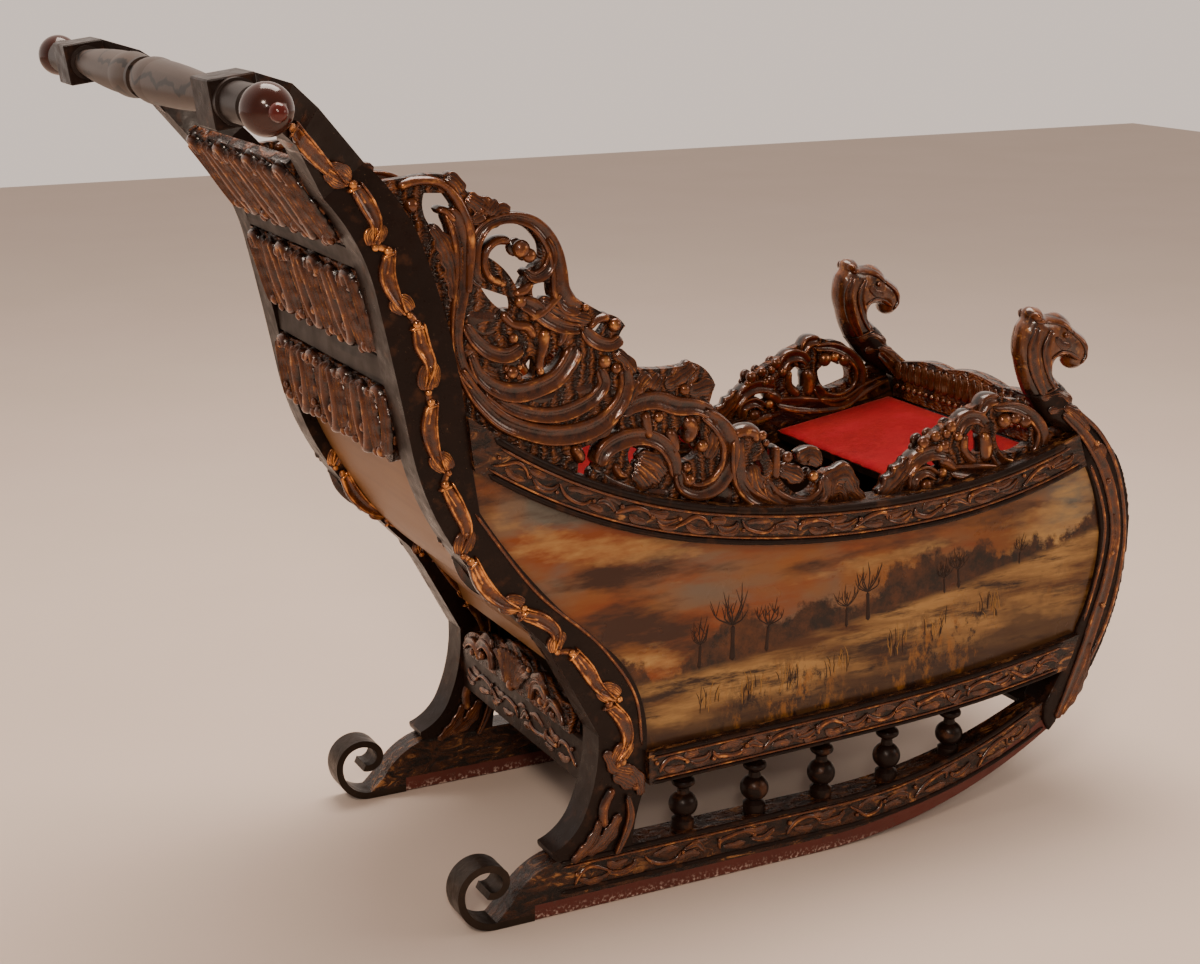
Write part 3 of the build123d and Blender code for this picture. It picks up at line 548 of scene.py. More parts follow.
class Carving:
    """Collects strokes on drawing planes into one mesh with its ridge heights."""

    def __init__(self):
        self.points, self.ridges, self.faces = [], [], []

    def grid(self, block, ridge):
        """Joins rings of points into a closed tube."""
        start = sum(len(b) for b in self.points)
        rings, size = block.shape[:2]
        index = start + np.arange(rings * size).reshape(rings, size)
        for a, b in zip(index, index[1:]):
            for j in range(size):
                k = (j + 1) % size
                self.faces.append((a[j], a[k], b[k], b[j]))
        self.faces.append(tuple(index[0][::-1]))
        self.faces.append(tuple(index[-1]))
        self.points.append(block.reshape(-1, 3))
        self.ridges.append(ridge.reshape(-1))

    def stroke(self, plane, kind, points, height, behind, step=3.0):
        """One tube along points of x, z and width; behind is the back's share of the height."""
        origin, forward, up, out = plane
        rows = smooth_path(points, step)
        xz, half = rows[:, :2], rows[:, 2] / 2
        tangent = np.gradient(xz, axis=0)
        tangent /= np.maximum(np.linalg.norm(tangent, axis=1), 1e-6)[:, None]
        normal = np.stack([-tangent[:, 1], tangent[:, 0]], axis=1)
        run = foot_run(xz)
        end = np.clip(np.minimum(run, run[-1] - run) / (0.8 * half + 0.1), 0, 1)
        cap = np.sqrt(np.maximum(1 - (1 - end) ** 2, 0.03))
        if kind == "leaf":
            half = half * (1 + 0.16 * np.sin(run / 3.1))
        wave = 1 + 0.05 * np.sin(run / 17.0 + xz[:, 0] * 0.05)
        across, level, ridge = np.array(SECTIONS[kind]).T
        flat = xz[:, None, :] + normal[:, None, :] * (half * cap)[:, None, None] * across[None, :, None]
        rise = (height * wave * (0.45 + 0.55 * cap))[:, None] * level[None, :]
        ridge = ridge[None, :] * (0.4 + 0.6 * cap)[:, None]
        if behind > 0.5:
            back, depth = slice(None, None, -1), behind * rise[:, ::-1]
        else:
            # A buried back needs only two points a ring
            back, depth = [-1, 0], behind * height * np.outer(cap, (0.8, 0.8))
        flat = np.concatenate([flat, flat[:, back]], axis=1)
        rise = np.concatenate([rise, -depth], axis=1)
        ridge = np.concatenate([ridge, ridge[:, back]], axis=1)
        block = origin + flat[..., :1] * forward + flat[..., 1:] * up + rise[..., None] * out
        self.grid(block, ridge)

    def ball(self, plane, x, z, width, height, behind):
        """A bead standing at a height above the plane, on its other side too where the back shows."""
        origin, forward, up, out = plane
        turns = np.linspace(0, 2 * np.pi, 14, endpoint=False)
        for way in ((1, -1) if behind > 0.5 else (1,)):
            lift = np.linspace(-0.35, 1, 8) * np.pi / 2
            radius = np.cos(lift)[:, None] * width / 2 + 0.02
            flat_x, flat_z = x + radius * np.cos(turns), z + radius * np.sin(turns)
            rise = way * (height + np.sin(lift)[:, None] * width * 0.38 + 0 * flat_x)
            block = origin + flat_x[..., None] * forward + flat_z[..., None] * up + rise[..., None] * out
            self.grid(block, 0.55 + 0.45 * np.sin(lift)[:, None] + 0 * flat_x)

    def add(self, plane, table, height, behind, wide=1.0):
        """A whole table of strokes, at slightly different heights so that they don't merge."""
        for i, (kind, *points) in enumerate(table):
            lift = height * (0.86 + 0.035 * ((3 * i) % 5))
            if kind == "ball":
                for x, z, width in points:
                    self.ball(plane, x, z, wide * width, 0.62 * lift, behind)
            else:
                points = [(x, z, wide * width) for x, z, width in points]
                self.stroke(plane, kind, points, lift * (0.8 if kind == "plate" else 1.0), behind)

    def build(self, name, material, slot):
        faces = [tuple(int(i) for i in f) for f in self.faces]
        mesh = new_mesh(name, (np.vstack(self.points) * MM).tolist(), faces)
        heights = np.concatenate(self.ridges).astype(np.float32)
        # The ridge heights are the mask of the bronze's painted highlight on the tops and painted shade in
        # the hollows
        mesh.attributes.new("ridge", "FLOAT", "POINT").data.foreach_set("value", heights)
        piece = new_piece(name, mesh)
        dress(piece, material)
        return piece


def arc_path(start, heading, arcs, step=4.0):
    """Points and headings along tangent arcs of given radius and turn."""
    x, z = start
    angle = math.radians(heading)
    rows = [(x, z, angle)]
    for radius, turn in arcs:
        count = max(2, int(radius * math.radians(abs(turn)) / step))
        part = math.radians(turn) / count
        chord = 2 * radius * math.sin(abs(part) / 2)
        for _ in range(count):
            x += chord * math.cos(angle + part / 2)
            z += chord * math.sin(angle + part / 2)
            angle += part
            rows.append((x, z, angle))
    return np.array(rows)


def beside(path, run, offset):
    """Point at a distance along the path and an offset above it."""
    x, z, angle = (np.interp(run, foot_run(path[:, :2]), path[:, k]) for k in range(3))
    return x - offset * math.sin(angle), z + offset * math.cos(angle)


def line_beside(path, begin, end, offset, width, step=12.0):
    """Stroke points along a path, at an offset above it."""
    count = max(3, int((end - begin) / step))
    return [(*beside(path, begin + (end - begin) * k / count, offset), width) for k in range(count + 1)]


# Stroke tables: kind, then x, z and width of each point on the curve, in the side drawing. The points of
# the four crests, the first six drops and part of the post's foot were marked by eye on the photo, and
# scratch scripts turned them into millimetres.

WING = (
    ("flute", (-487, 851, 11.9), (-476, 837, 19), (-470, 817, 20), (-468, 791, 20.1), (-472, 763, 17.1),
      (-477, 733, 14.1), (-478, 703, 12.1), (-472, 677, 14.2), (-457, 655, 12.2)),
    ("round", (-542, 877, 9.8), (-527, 882, 9.9), (-510, 883, 9.9), (-491, 878, 9.9), (-477, 865, 12),
      (-467, 847, 12), (-460, 826, 12), (-459, 806, 12), (-461, 782, 10), (-464, 758, 8.9)),
    ("ball", (-527, 858, 12.7)),
    ("ball", (-526, 859, 7.5)),
    ("leaf", (-488, 886, 6), (-479, 881, 15.9), (-468, 866, 12)),
    ("round", (-499, 852, 6), (-490, 850, 8), (-477, 837, 10)),
    ("leaf", (-505, 836, 6), (-491, 816, 16), (-482, 792, 18), (-480, 764, 12), (-478, 743, 6)),
    ("flute", (-445, 767, 8.1), (-454, 774, 12.1), (-457, 794, 14.1), (-453, 816, 13.3), (-441, 831, 10.9),
      (-423, 837, 10.1), (-406, 837, 10.9), (-386, 830, 13.4), (-371, 816, 15.5), (-360, 797, 16.4),
      (-355, 774, 17.6), (-353, 753, 19.7), (-344, 737, 21.4), (-325, 730, 12.4)),
    ("ball", (-323, 732, 7)),
    ("round", (-423, 766, 10.1), (-438, 775, 8.9), (-444, 789, 8.9), (-441, 804, 8.9), (-429, 813, 8.1),
      (-413, 813, 8.9)),
    ("ball", (-423, 767, 7.3)),
    ("ball", (-401, 803, 16.2)),
    ("ball", (-391, 795, 12.6)),
    ("ball", (-395, 799, 7.3)),
    ("flute", (-397, 779, 6.1), (-385, 771, 11.4), (-369, 779, 12.3), (-364, 797, 10.2), (-371, 813, 6.1)),
    ("round", (-411, 754, 8.1), (-398, 756, 11.4), (-387, 765, 8.2)),
    ("flute", (-404, 745, 13), (-389, 739, 17), (-372, 724, 16), (-352, 713, 14), (-328, 708, 10)),
    ("leaf", (-378, 744, 7), (-356, 734, 17), (-334, 722, 17), (-314, 716, 8)),
    ("round", (-392, 724, 8), (-378, 730, 11), (-362, 742, 10), (-352, 750, 6)),
    ("ball", (-402, 745, 11.8)),
    ("round", (-372, 713, 16.4), (-374, 693, 13.2), (-379, 676, 10.3), (-379, 664, 12.4)),
    ("ball", (-379, 665, 7.4)),
    ("flute", (-326, 709, 10.4), (-317, 698, 14.6), (-303, 689, 14.6), (-289, 687, 12.6), (-277, 694, 11.7)),
    ("round", (-319, 708, 8.3), (-307, 717, 9.6), (-292, 718, 10.4)),
    ("ball", (-286, 709, 12.5)),
    ("round", (-358, 691, 6.2), (-351, 699, 10.3), (-347, 711, 12.4)),
    ("flute", (-469, 726, 10.1), (-456, 706, 13), (-439, 692, 14.6), (-417, 687, 14.7), (-400, 695, 12.3)),
    ("ball", (-411, 705, 9)),
    ("plate", (-469, 732, 14.1), (-447, 724, 22.3), (-425, 724, 18.3)),
    ("plate", (-452, 684, 10.2), (-426, 673, 14.3), (-399, 676, 10.3)),
    ("round", (-425, 735, 10.2), (-412, 721, 10.2), (-392, 715, 12.3), (-385, 702, 10.3)),
    ("ball", (-413, 667, 11.5)),
    ("ball", (-404, 672, 5.3)),
    ("ball", (-420, 672, 5.3)),
    ("ball", (-405, 661, 5.3)),
    ("ball", (-419, 663, 5.3)),
    ("flute", (-463, 692, 8.1), (-453, 669, 12.2), (-431, 650, 17.2), (-404, 643, 19.7), (-379, 647, 18.6),
      (-358, 656, 18.6), (-344, 671, 18.7), (-334, 688, 19.9)),
    ("flute", (-444, 651, 11.4), (-422, 632, 13.1), (-395, 619, 14.4), (-363, 613, 15.8), (-333, 618, 15.9),
      (-310, 629, 13.8), (-300, 643, 12.6), (-305, 661, 10.5)),
    ("flute", (-476, 676, 10.1), (-453, 640, 15.5), (-427, 614, 18.5), (-395, 598, 19), (-359, 589, 20.8),
      (-326, 590, 21), (-298, 600, 19), (-279, 619, 16.9), (-272, 640, 14.8), (-274, 660, 12.6)),
    ("plate", (-400, 628, 12.4), (-368, 629, 16.6), (-331, 631, 18.8), (-307, 638, 14.7)),
    ("plate", (-326, 671, 16.6), (-317, 658, 16.7), (-312, 644, 12.5)),
    ("ball", (-299, 668, 12.6)),
    ("ball", (-284, 659, 10.5)),
    ("leaf", (-284, 678, 8.4), (-270, 666, 12.6), (-260, 650, 10.6)),
    ("leaf", (-464, 864, 10), (-445, 851, 18.1), (-432, 842, 12.1)),
    ("leaf", (-450, 839, 12), (-441, 853, 18.1), (-445, 861, 8)),
    ("leaf", (-441, 841, 12.1), (-432, 852, 18.1), (-428, 858, 10.1)),
    ("leaf", (-434, 838, 12.1), (-421, 846, 16.1), (-412, 842, 8.1)),
    ("leaf", (-441, 843, 10), (-454, 838, 12), (-460, 838, 6)),
    ("ball", (-446, 848, 6)),
)
MIDDLE = (
    ("leaf", (-260, 625, 9.9), (-249, 639, 17.4), (-238, 648, 12.4)),
    ("leaf", (-240, 628, 12.5), (-232, 640, 17.4), (-226, 647, 9)),
    ("leaf", (-221, 631, 12.5), (-198, 640, 20.1), (-180, 653, 13.6)),
    ("leaf", (-189, 620, 12.6), (-172, 624, 17.7), (-154, 627, 12.7)),
    ("ball", (-195, 625, 10.6)),
    ("ball", (-254, 630, 8.9)),
    ("leaf", (-268, 613, 14.9), (-260, 630, 19.8), (-252, 642, 9.9)),
    ("flute", (-279, 605, 12.4), (-260, 614, 16.4), (-232, 616, 19), (-203, 606, 19.1), (-177, 602, 16.7),
      (-157, 592, 15.3)),
    ("flute", (-171, 595, 12.7), (-147, 576, 19.4), (-133, 551, 22.1), (-137, 522, 22.1), (-152, 505, 22.1),
      (-176, 500, 19.4), (-198, 513, 15.3), (-202, 528, 11.2)),
    ("ball", (-188, 515, 13.2)),
    ("leaf", (-156, 587, 10.2), (-152, 564, 19.4), (-164, 537, 10.2)),
    ("ball", (-171, 555, 12.2)),
    ("ball", (-191, 531, 9.1)),
    ("flute", (-307, 546, 12.4), (-299, 563, 17.4), (-274, 575, 18.9), (-248, 575, 17.5), (-226, 565, 16.6),
      (-210, 544, 16.7), (-206, 520, 11.2)),
    ("round", (-286, 548, 10), (-279, 534, 11.5), (-268, 531, 7.5)),
    ("ball", (-273, 532, 8)),
    ("leaf", (-254, 552, 10), (-234, 542, 22.6), (-217, 524, 12.7)),
    ("leaf", (-257, 545, 10), (-240, 530, 24.2), (-225, 515, 12.6)),
    ("leaf", (-260, 537, 10), (-248, 523, 19.1), (-239, 511, 10.1)),
    ("round", (-246, 605, 12.5), (-243, 584, 12.5), (-240, 571, 10)),
    ("ball", (-229, 596, 10.5)),
    ("round", (-217, 581, 12.6), (-208, 562, 15.1), (-205, 549, 10.1)),
    ("round", (-194, 592, 15.1), (-183, 578, 17.7), (-191, 560, 12.7)),
    ("round", (-340, 575, 9.8), (-332, 564, 13.8), (-327, 553, 12.3)),
    ("leaf", (-285, 607, 14.8), (-296, 590, 12.4), (-321, 578, 7.4)),
    ("plate", (-170, 502, 12.8), (-140, 493, 20.6), (-122, 480, 15.6)),
    ("plate", (-318, 542, 9.9), (-268, 512, 12.5), (-211, 497, 15.2)),
)
SECOND = (
    ("round", (-128, 561, 10.3), (-115, 565, 14.4), (-98, 560, 14.5), (-96, 549, 10.3)),
    ("ball", (-89, 558, 9.3)),
    ("ball", (-83, 548, 6.7)),
    ("flute", (-124, 560, 12.8), (-123, 534, 16.5), (-119, 507, 17.1), (-102, 484, 17.2), (-76, 469, 13.1)),
    ("leaf", (-102, 523, 13), (-94, 495, 25), (-73, 475, 23.6), (-48, 462, 15.8)),
    ("flute", (-83, 502, 10.4), (-70, 479, 21), (-42, 462, 23.8), (-14, 463, 21.2), (1, 478, 17.6),
      (0, 497, 13.3)),
    ("ball", (-16, 499, 11.6)),
    ("ball", (-53, 527, 11)),
    ("leaf", (-35, 518, 13.1), (-23, 526, 18.4), (-4, 511, 13.2)),
    ("leaf", (-62, 513, 10.5), (-44, 505, 18.4), (-28, 495, 10.6)),
    ("round", (-68, 543, 7.8), (-67, 522, 10.4), (-68, 500, 10.5)),
    ("leaf", (9, 463, 13.3), (14, 490, 24), (32, 492, 24.1), (45, 472, 16.1), (63, 454, 9.7)),
    ("leaf", (10, 474, 10.7), (24, 475, 16), (33, 457, 10.7)),
)
FRONT = (
    ("leaf", (84, 455, 12.8), (101, 469, 23.1), (119, 486, 23.1), (132, 503, 14.4)),
    ("flute", (121, 481, 10.3), (135, 500, 15.4), (160, 507, 17.1), (185, 501, 13)),
    ("ball", (146, 522, 13.4)),
    ("ball", (163, 528, 11.4)),
    ("ball", (178, 515, 11.4)),
    ("ball", (187, 538, 13)),
    ("ball", (198, 524, 10.4)),
    ("ball", (141, 513, 9.3)),
    ("ball", (169, 512, 9.3)),
    ("ball", (180, 529, 9.3)),
    ("flute", (193, 522, 10.4), (208, 544, 16.7), (230, 544, 14.7), (243, 532, 10.5)),
    ("round", (209, 526, 10.4), (210, 504, 11.5), (227, 486, 13.2)),
    ("flute", (230, 548, 9.4), (241, 564, 13.6), (260, 565, 11.6)),
    ("flute", (251, 555, 7.9), (284, 552, 12.2), (314, 536, 15), (331, 512, 16.1), (326, 488, 17.8),
      (300, 474, 18.7), (270, 480, 15.9), (253, 499, 10.6)),
    ("ball", (269, 536, 16.4)),
    ("ball", (303, 532, 14.9)),
    ("ball", (286, 538, 13.3)),
    ("round", (237, 525, 13.1), (245, 506, 20), (243, 484, 15.8)),
    ("flute", (189, 480, 13), (228, 473, 22.1), (267, 468, 20.2), (306, 469, 16.1), (344, 488, 13.5),
      (376, 498, 10.9)),
    ("plate", (342, 516, 16.2), (363, 500, 24.4), (380, 495, 16.3)),
    ("ball", (177, 479, 10.9)),
    ("ball", (152, 466, 13)),
    ("ball", (157, 464, 7.8)),
    ("flute", (131, 461, 10.3), (133, 479, 12.9), (151, 485, 12.9), (171, 474, 10.4)),
    ("round", (85, 454, 12.8), (128, 453, 12.9), (184, 462, 13.1)),
    ("round", (170, 496, 10.4), (182, 492, 15.6), (199, 479, 13.1)),
)
# Each drop of the chain down a post: points x, z from its head to its curled tail
POST_DROPS = (
    ((-681, 953), (-659, 931), (-630, 906), (-601, 888)),
    ((-597, 886), (-583, 864), (-573, 842), (-576, 822)),
    ((-561, 815), (-563, 789), (-554, 765), (-540, 748)),
    ((-531, 735), (-526, 711), (-517, 691), (-520, 662)),
    ((-517, 648), (-520, 622), (-513, 590), (-499, 570)),
    ((-503, 555), (-489, 526), (-478, 498), (-484, 473)),
    ((-474, 462), (-459, 432), (-436, 408), (-412, 400)),
    ((-414, 392), (-390, 380), (-369, 360), (-370, 340)),
    ((-350, 334), (-330, 308), (-314, 284), (-290, 268)),
    ((-302, 262), (-284, 238), (-277, 210), (-290, 186)),
)
POST_FOOT = (
    ("leaf", (-305, 202, 9), (-292, 180, 19), (-266, 169, 12)),
    ("leaf", (-295, 170, 10), (-282, 163, 22), (-262, 148, 12)),
    ("leaf", (-276, 176, 10), (-262, 160, 18), (-258, 136, 8)),
    ("round", (-295, 153, 11.7), (-307, 130, 14.6), (-307, 105, 12.9)),
    ("ball", (-284, 186, 12), (-266, 150, 10)),
    ("leaf", (-286, 118, 8), (-302, 92, 20), (-330, 74, 12)),
    ("leaf", (-312, 116, 6), (-322, 92, 15), (-350, 68, 9)),
    ("flute", (-276, 140, 6), (-272, 112, 11), (-282, 84, 9), (-292, 66, 5)),
)


def drop_strokes(drop):
    """One acanthus drop: knob and ring at the head, a body swelling and narrowing, leaves at the tail."""
    (a, b, c, d) = (np.array(point, float) for point in drop)
    run = (d - a) / np.linalg.norm(d - a)
    side = np.array([-run[1], run[0]])
    ring = [(*(a + run * 5 + side * k), 6.5) for k in (-9, -3, 3, 9)]
    lip = ((a, 8, 4), (b, 8.5, 5), (c, 5, 5), (d, -3, 4))
    outer = [(*(point + side * shift), width) for point, shift, width in lip]
    return [
        ("flute", (*(a + run * 3), 13), (*b, 18), (*c, 15), (*(d + run * 2), 13)),
        ("round", *outer), ("round", *ring),
        ("leaf", (*(c + side * 4), 6), (*((c + d) / 2 + side * 8), 13), (*(d + side * 5), 6)),
        ("leaf", (*(c - side * 4), 6), (*((c + d) / 2 - side * 8), 12), (*(d - side * 4), 6)),
        ("ball", (*a, 10), (*(d + run * 3), 8)),
    ]


TOP_RAIL = arc_path((-496.0, 615.0), -38.2, ((774.0, 26.7), (1257.0, 15.0), (806.0, 16.5)))
BOTTOM_RAIL = arc_path((-249.5, 170.5), 1.0, ((20000.0, 1.0), (1900.0, 9.6)))
RUNNER = arc_path((-366.0, 45.0), 0.0, ((200000.0, 0.1134), (700.0, 27.5)))
STEM_REAR = ((408, 250, 6), (423, 300, 6), (433, 350, 6), (434, 375, 6), (421, 425, 6), (402, 466, 6))
STEM_FRONT = ((384, 124, 6), (411, 172, 7), (450, 250, 7), (463, 300, 7), (468, 353, 7), (461, 410, 7),
              (444, 462, 7), (413, 508, 7), (372, 542, 7))
STEM_ORNAMENT = (
    ("flute", (372, 118, 9), (398, 172, 17), (427, 250, 20), (444, 310, 18), (451, 362, 17), (441, 418, 18),
      (421, 464, 18), (393, 502, 16), (352, 540, 12)),
    ("leaf", (378, 122, 7), (398, 146, 16), (414, 180, 16), (420, 220, 6)),
    ("leaf", (444, 332, 6), (450, 362, 13), (444, 396, 6)),
    ("leaf", (400, 484, 6), (414, 488, 15), (424, 470, 6)),
    ("leaf", (352, 548, 6), (372, 536, 15), (396, 512, 6)),
    ("ball", (437, 268, 9), (447, 340, 8), (432, 440, 9), (408, 494, 9)),
)
POST_FRONT = ((-467, 516, 5), (-391, 411, 5), (-304, 326, 5), (-265, 263, 5), (-256, 200, 5))


def leaf_run(path, begin, end, unit, tall, seed):
    """Low leaf sprays repeated along a band: a curled stem with lobed leaves leaving it on both sides."""
    chance = np.random.default_rng(seed)
    rows = []
    count = int((end - begin) / unit)
    for k in range(count):
        run = begin + (k + 0.5) * (end - begin) / count
        flip = 1 if (k + k // 3) % 2 else -1
        grow = chance.uniform(0.8, 1.15)
        shake = chance.uniform(-0.10, 0.10, 8)

        def at(along, over, width, n=0):
            place = beside(path, run + (along + 0.6 * shake[n]) * unit, flip * (over + shake[n + 1]) * tall)
            return *place, width * grow

        rows.append(("round", at(-0.50, 0.36, 3), at(-0.42, 0.05, 6, 1), at(-0.22, -0.30, 7, 2),
                     at(0.02, -0.18, 5, 3), at(0.08, 0.12, 3)))
        rows.append(("leaf", at(-0.36, 0.16, 3, 2), at(-0.18, 0.34, 10, 3), at(0.04, 0.30, 4, 4)))
        rows.append(("leaf", at(0.00, -0.34, 4, 4), at(0.18, -0.24, 11, 5), at(0.34, -0.36, 4, 6)))
        rows.append(("flute", at(0.10, 0.05, 4, 5), at(0.28, 0.20, 9, 6), at(0.44, 0.00, 6, 1),
                     at(0.50, -0.22, 3, 2)))
        rows.append(("leaf", at(0.22, 0.34, 3, 3), at(0.36, 0.38, 7, 4), at(0.50, 0.30, 3, 5)))
        rows.append(("ball", at(-0.46, -0.20, 6, 6), at(0.10, 0.02, 6, 3)))
    return rows


HEAD_RIDGES = (
    ("flute", (322, 566, 10), (306, 600, 14), (300, 632, 13), (306, 655, 8)),
    ("flute", (341, 573, 9), (326, 600, 13), (320, 630, 13), (328, 650, 7)),
    ("round", (303, 662, 7), (322, 662, 9), (344, 657, 10), (364, 643, 7)),
    ("round", (362, 645, 7), (381, 630, 10), (388, 613, 9), (379, 600, 5)),
    ("round", (330, 612, 4), (346, 618, 7), (362, 614, 8), (376, 606, 4)),
    ("leaf", (334, 640, 5), (346, 628, 12), (360, 626, 4)),
    ("leaf", (318, 562, 8), (345, 566, 16), (366, 552, 10)),
    ("leaf", (330, 545, 8), (356, 545, 18), (386, 530, 10)),
    ("ball", (350, 641, 8), (305, 668, 11)),
)
BACK_WIDTH = 368.0
BACK_CELLS = 7          # piercings across a board
BACK_BOARDS = (
    # foot and head of the rear face, drop of the lower edge
    ((-588.5, 815.0), (-652.0, 905.0), 0.0),
    ((-551.5, 692.3), (-580.0, 787.7), 0.0),
    ((-541.0, 592.0), (-547.8, 653.2), 26.0),
)


def rear_face(foot, head):
    """Plane of a cross board's rear face: local x to the left, local y up the board."""
    up = np.array([head[0] - foot[0], 0, head[1] - foot[1]], float)
    up /= np.linalg.norm(up)
    return np.array([SHIFT + foot[0], 0, foot[1]]), np.array([0, 1, 0]), up, np.array([-up[2], 0, up[0]])


def hanging_loops(height, drop):
    """Row of loops and small curls round the piercings, lobed leaves between them, the halves mirrored."""
    pitch = BACK_WIDTH / BACK_CELLS
    rows = []
    for k in range(BACK_CELLS):
        middle = (k - (BACK_CELLS - 1) / 2) * pitch
        way = -1 if middle < 0 else 1

        def at(across, share, width, sunk=0.0):
            return middle + way * across, share * height - sunk * drop, width

        if k % 2:
            rows.append(("round", at(-10, 0.95, 10), at(-16, 0.60, 14), at(-12, 0.20, 15, 0.6),
                         at(0, 0.06, 16, 0.9), at(12, 0.20, 15, 0.6), at(16, 0.60, 14), at(10, 0.95, 10)))
            rows.append(("leaf", at(-3, 0.98, 9), at(3, 0.80, 20), at(0, 0.55, 7)))
            rows.append(("ball", at(0, 0.24, 12, 0.4)))
        else:
            rows.append(("round", at(-10, 0.78, 8), at(-4, 0.95, 12), at(9, 0.95, 12), at(12, 0.80, 9),
                         at(4, 0.79, 7)))
            rows.append(("ball", at(0, 0.10, 14, 0.7), at(11, 0.10, 11, 0.3)))
            if k in (0, BACK_CELLS - 1):
                rows.append(("leaf", at(15, 0.92, 10), at(18, 0.60, 16), at(16, 0.26, 16, 0.4),
                             at(10, 0.05, 10, 0.7)))
    for k in range(1, BACK_CELLS):
        # A lobe stands beside the plain piercing, clear of the loop
        c = (k - BACK_CELLS / 2) * pitch + 7 * (-1) ** k
        rows.append(("leaf", (c - 4, 0.95 * height, 12), (c + 2, 0.62 * height, 22),
                     (c, 0.28 * height - 0.4 * drop, 26), (c - 2, 0.05 * height - 0.7 * drop, 14)))
        rows.append(("ball", (c, 0.86 * height, 12), (c - 1, 0.04 * height - 0.7 * drop, 12)))
    return rows


def shell_crest():
    """Fan of flutes in the middle, scrolls and leaves running out to both sides."""
    rows = [("leaf", (2.5 * k, 6, 5), (8.5 * k, 32, 10), (13 * k, 52 - 0.7 * k * k, 9)) for k in range(-4, 5)]
    for way in (-1, 1):
        rows += [
            ("flute", (way * 58, 8, 6), (way * 66, 30, 12), (way * 88, 36, 14), (way * 104, 22, 12),
             (way * 92, 12, 7)),
            ("flute", (way * 100, 8, 6), (way * 116, 26, 12), (way * 138, 22, 11), (way * 152, 8, 6)),
            ("leaf", (way * 60, 40, 6), (way * 80, 46, 12), (way * 100, 38, 5)),
            ("ball", (way * 90, 18, 12), (way * 122, 12, 10), (way * 56, 48, 9)),
        ]
    rows.append(("ball", (0, 8, 16)))
    return rows


def drape(piece, node, side):
    """Moves the outer strokes above the post's straight part sideways onto the flaring horn."""
    block = NODES[node].data
    tree = BVHTree.FromPolygons([v.co for v in block.vertices], [tuple(f.vertices) for f in block.polygons])
    for v in piece.data.vertices:
        if v.co.z > HORN_START * MM and abs(v.co.y) > FRAME_Y * MM:
            hit = tree.ray_cast(Vector((v.co.x, side * 0.7, v.co.z)), Vector((0, -side, 0)))[0]
            hit = hit or tree.find_nearest(v.co)[0]
            v.co.y += side * max(0.0, abs(hit.y) - HORN_FACE * MM)


# Ends of the joint between head and stem, x and z in metres; its edges stay sharp
NECK_JOINT = ((0.4562, 0.5633), (0.5042, 0.5773))
JOINT_REACH = 0.0015


def sawn_rim(mesh):
    """Outline edges of a flat sawn piece as pairs of x and z, without those along the neck joint."""
    bm = bmesh.new()
    bm.from_mesh(mesh)
    bmesh.ops.remove_doubles(bm, verts=bm.verts, dist=0.0001)
    rim = [[(v.co.x, v.co.z) for v in e.verts] for e in bm.edges
           if len(e.link_faces) == 2 and sorted(abs(f.normal.y) > 0.9 for f in e.link_faces) == [False, True]]
    bm.free()
    start, end = np.array(NECK_JOINT)
    joint = (end - start) / np.linalg.norm(end - start)

    def away(x, z):
        return abs((x - start[0]) * joint[1] - (z - start[1]) * joint[0])

    return np.array([edge for edge in rim if max(away(x, z) for x, z in edge) > JOINT_REACH])


def whittle(node, name, material, voxel, round_over, blend, smoothing, ridges=None):
    """Fine copy of a flat sawn piece with its section rounded over, fully so above the blend heights."""
    block = NODES[node]
    shape = new_piece(name, block.data.copy())
    shape.matrix_world = block.matrix_world
    rim = sawn_rim(block.data)
    middle_y = math.copysign(FRAME_Y * MM, block.data.vertices[0].co.y)

    def apply(kind, **settings):
        modifier = shape.modifiers.new(kind, kind)
        for key, value in settings.items():
            setattr(modifier, key, value)
        bake(shape)

    def squeeze(mesh):
        points = coordinates(mesh).astype(float)
        near = np.full(len(points), 1e9)
        for a, b in rim:
            along = b - a
            share = np.clip((points[:, ::2] - a) @ along / max(along @ along, 1e-12), 0, 1)
            near = np.minimum(near, np.linalg.norm(points[:, ::2] - a - share[:, None] * along, axis=1))
        share = np.clip(near * 1000 / round_over, 0, 1)
        thin = np.sqrt(np.maximum(1 - (1 - share) ** 2, 0.02))
        full = np.clip((points[:, 2] - blend[0]) / (blend[1] - blend[0]), 0, 1)
        points[:, 1] = middle_y + (points[:, 1] - middle_y) * (1 - full * (1 - thin))
        mesh.vertices.foreach_set("co", points.astype(np.float32).ravel())

    apply("REMESH", mode="VOXEL", voxel_size=voxel)
    squeeze(shape.data)
    if ridges is not None:
        squeeze(ridges.data)
    apply("SMOOTH", factor=0.5, iterations=smoothing)
    dress(shape, material)
    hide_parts(node)


def crest_scrolls(side, hand):
    """The pierced boards standing on the top rail."""
    for name, table in (("wing", WING), ("middle", MIDDLE), ("second", SECOND), ("front", FRONT)):
        carving = Carving()
        carving.add(side_face(side, FRAME_Y, 1), table, 14.5, 1.0, wide=1.3)
        carving.build(name + "_scrolls_" + hand, GILT, "gilt_carving")


def post_and_stem_gilding(side, hand):
    carving = Carving()
    for face, out in ((OUTER_FACE, 1), (INNER_FACE, -1)):
        plane = side_face(side, face, out)
        carving.add(plane, POST_FOOT, 6.5, 0.5)
        carving.add(plane, STEM_ORNAMENT, 5.0, 0.2)
        for edge in (POST_FRONT, STEM_REAR, STEM_FRONT):
            carving.stroke(plane, "round", edge, 2.6, 0.2, 8.0)
    carving.build("post_and_stem_gilding_" + hand, GILT, "gilt_carving")


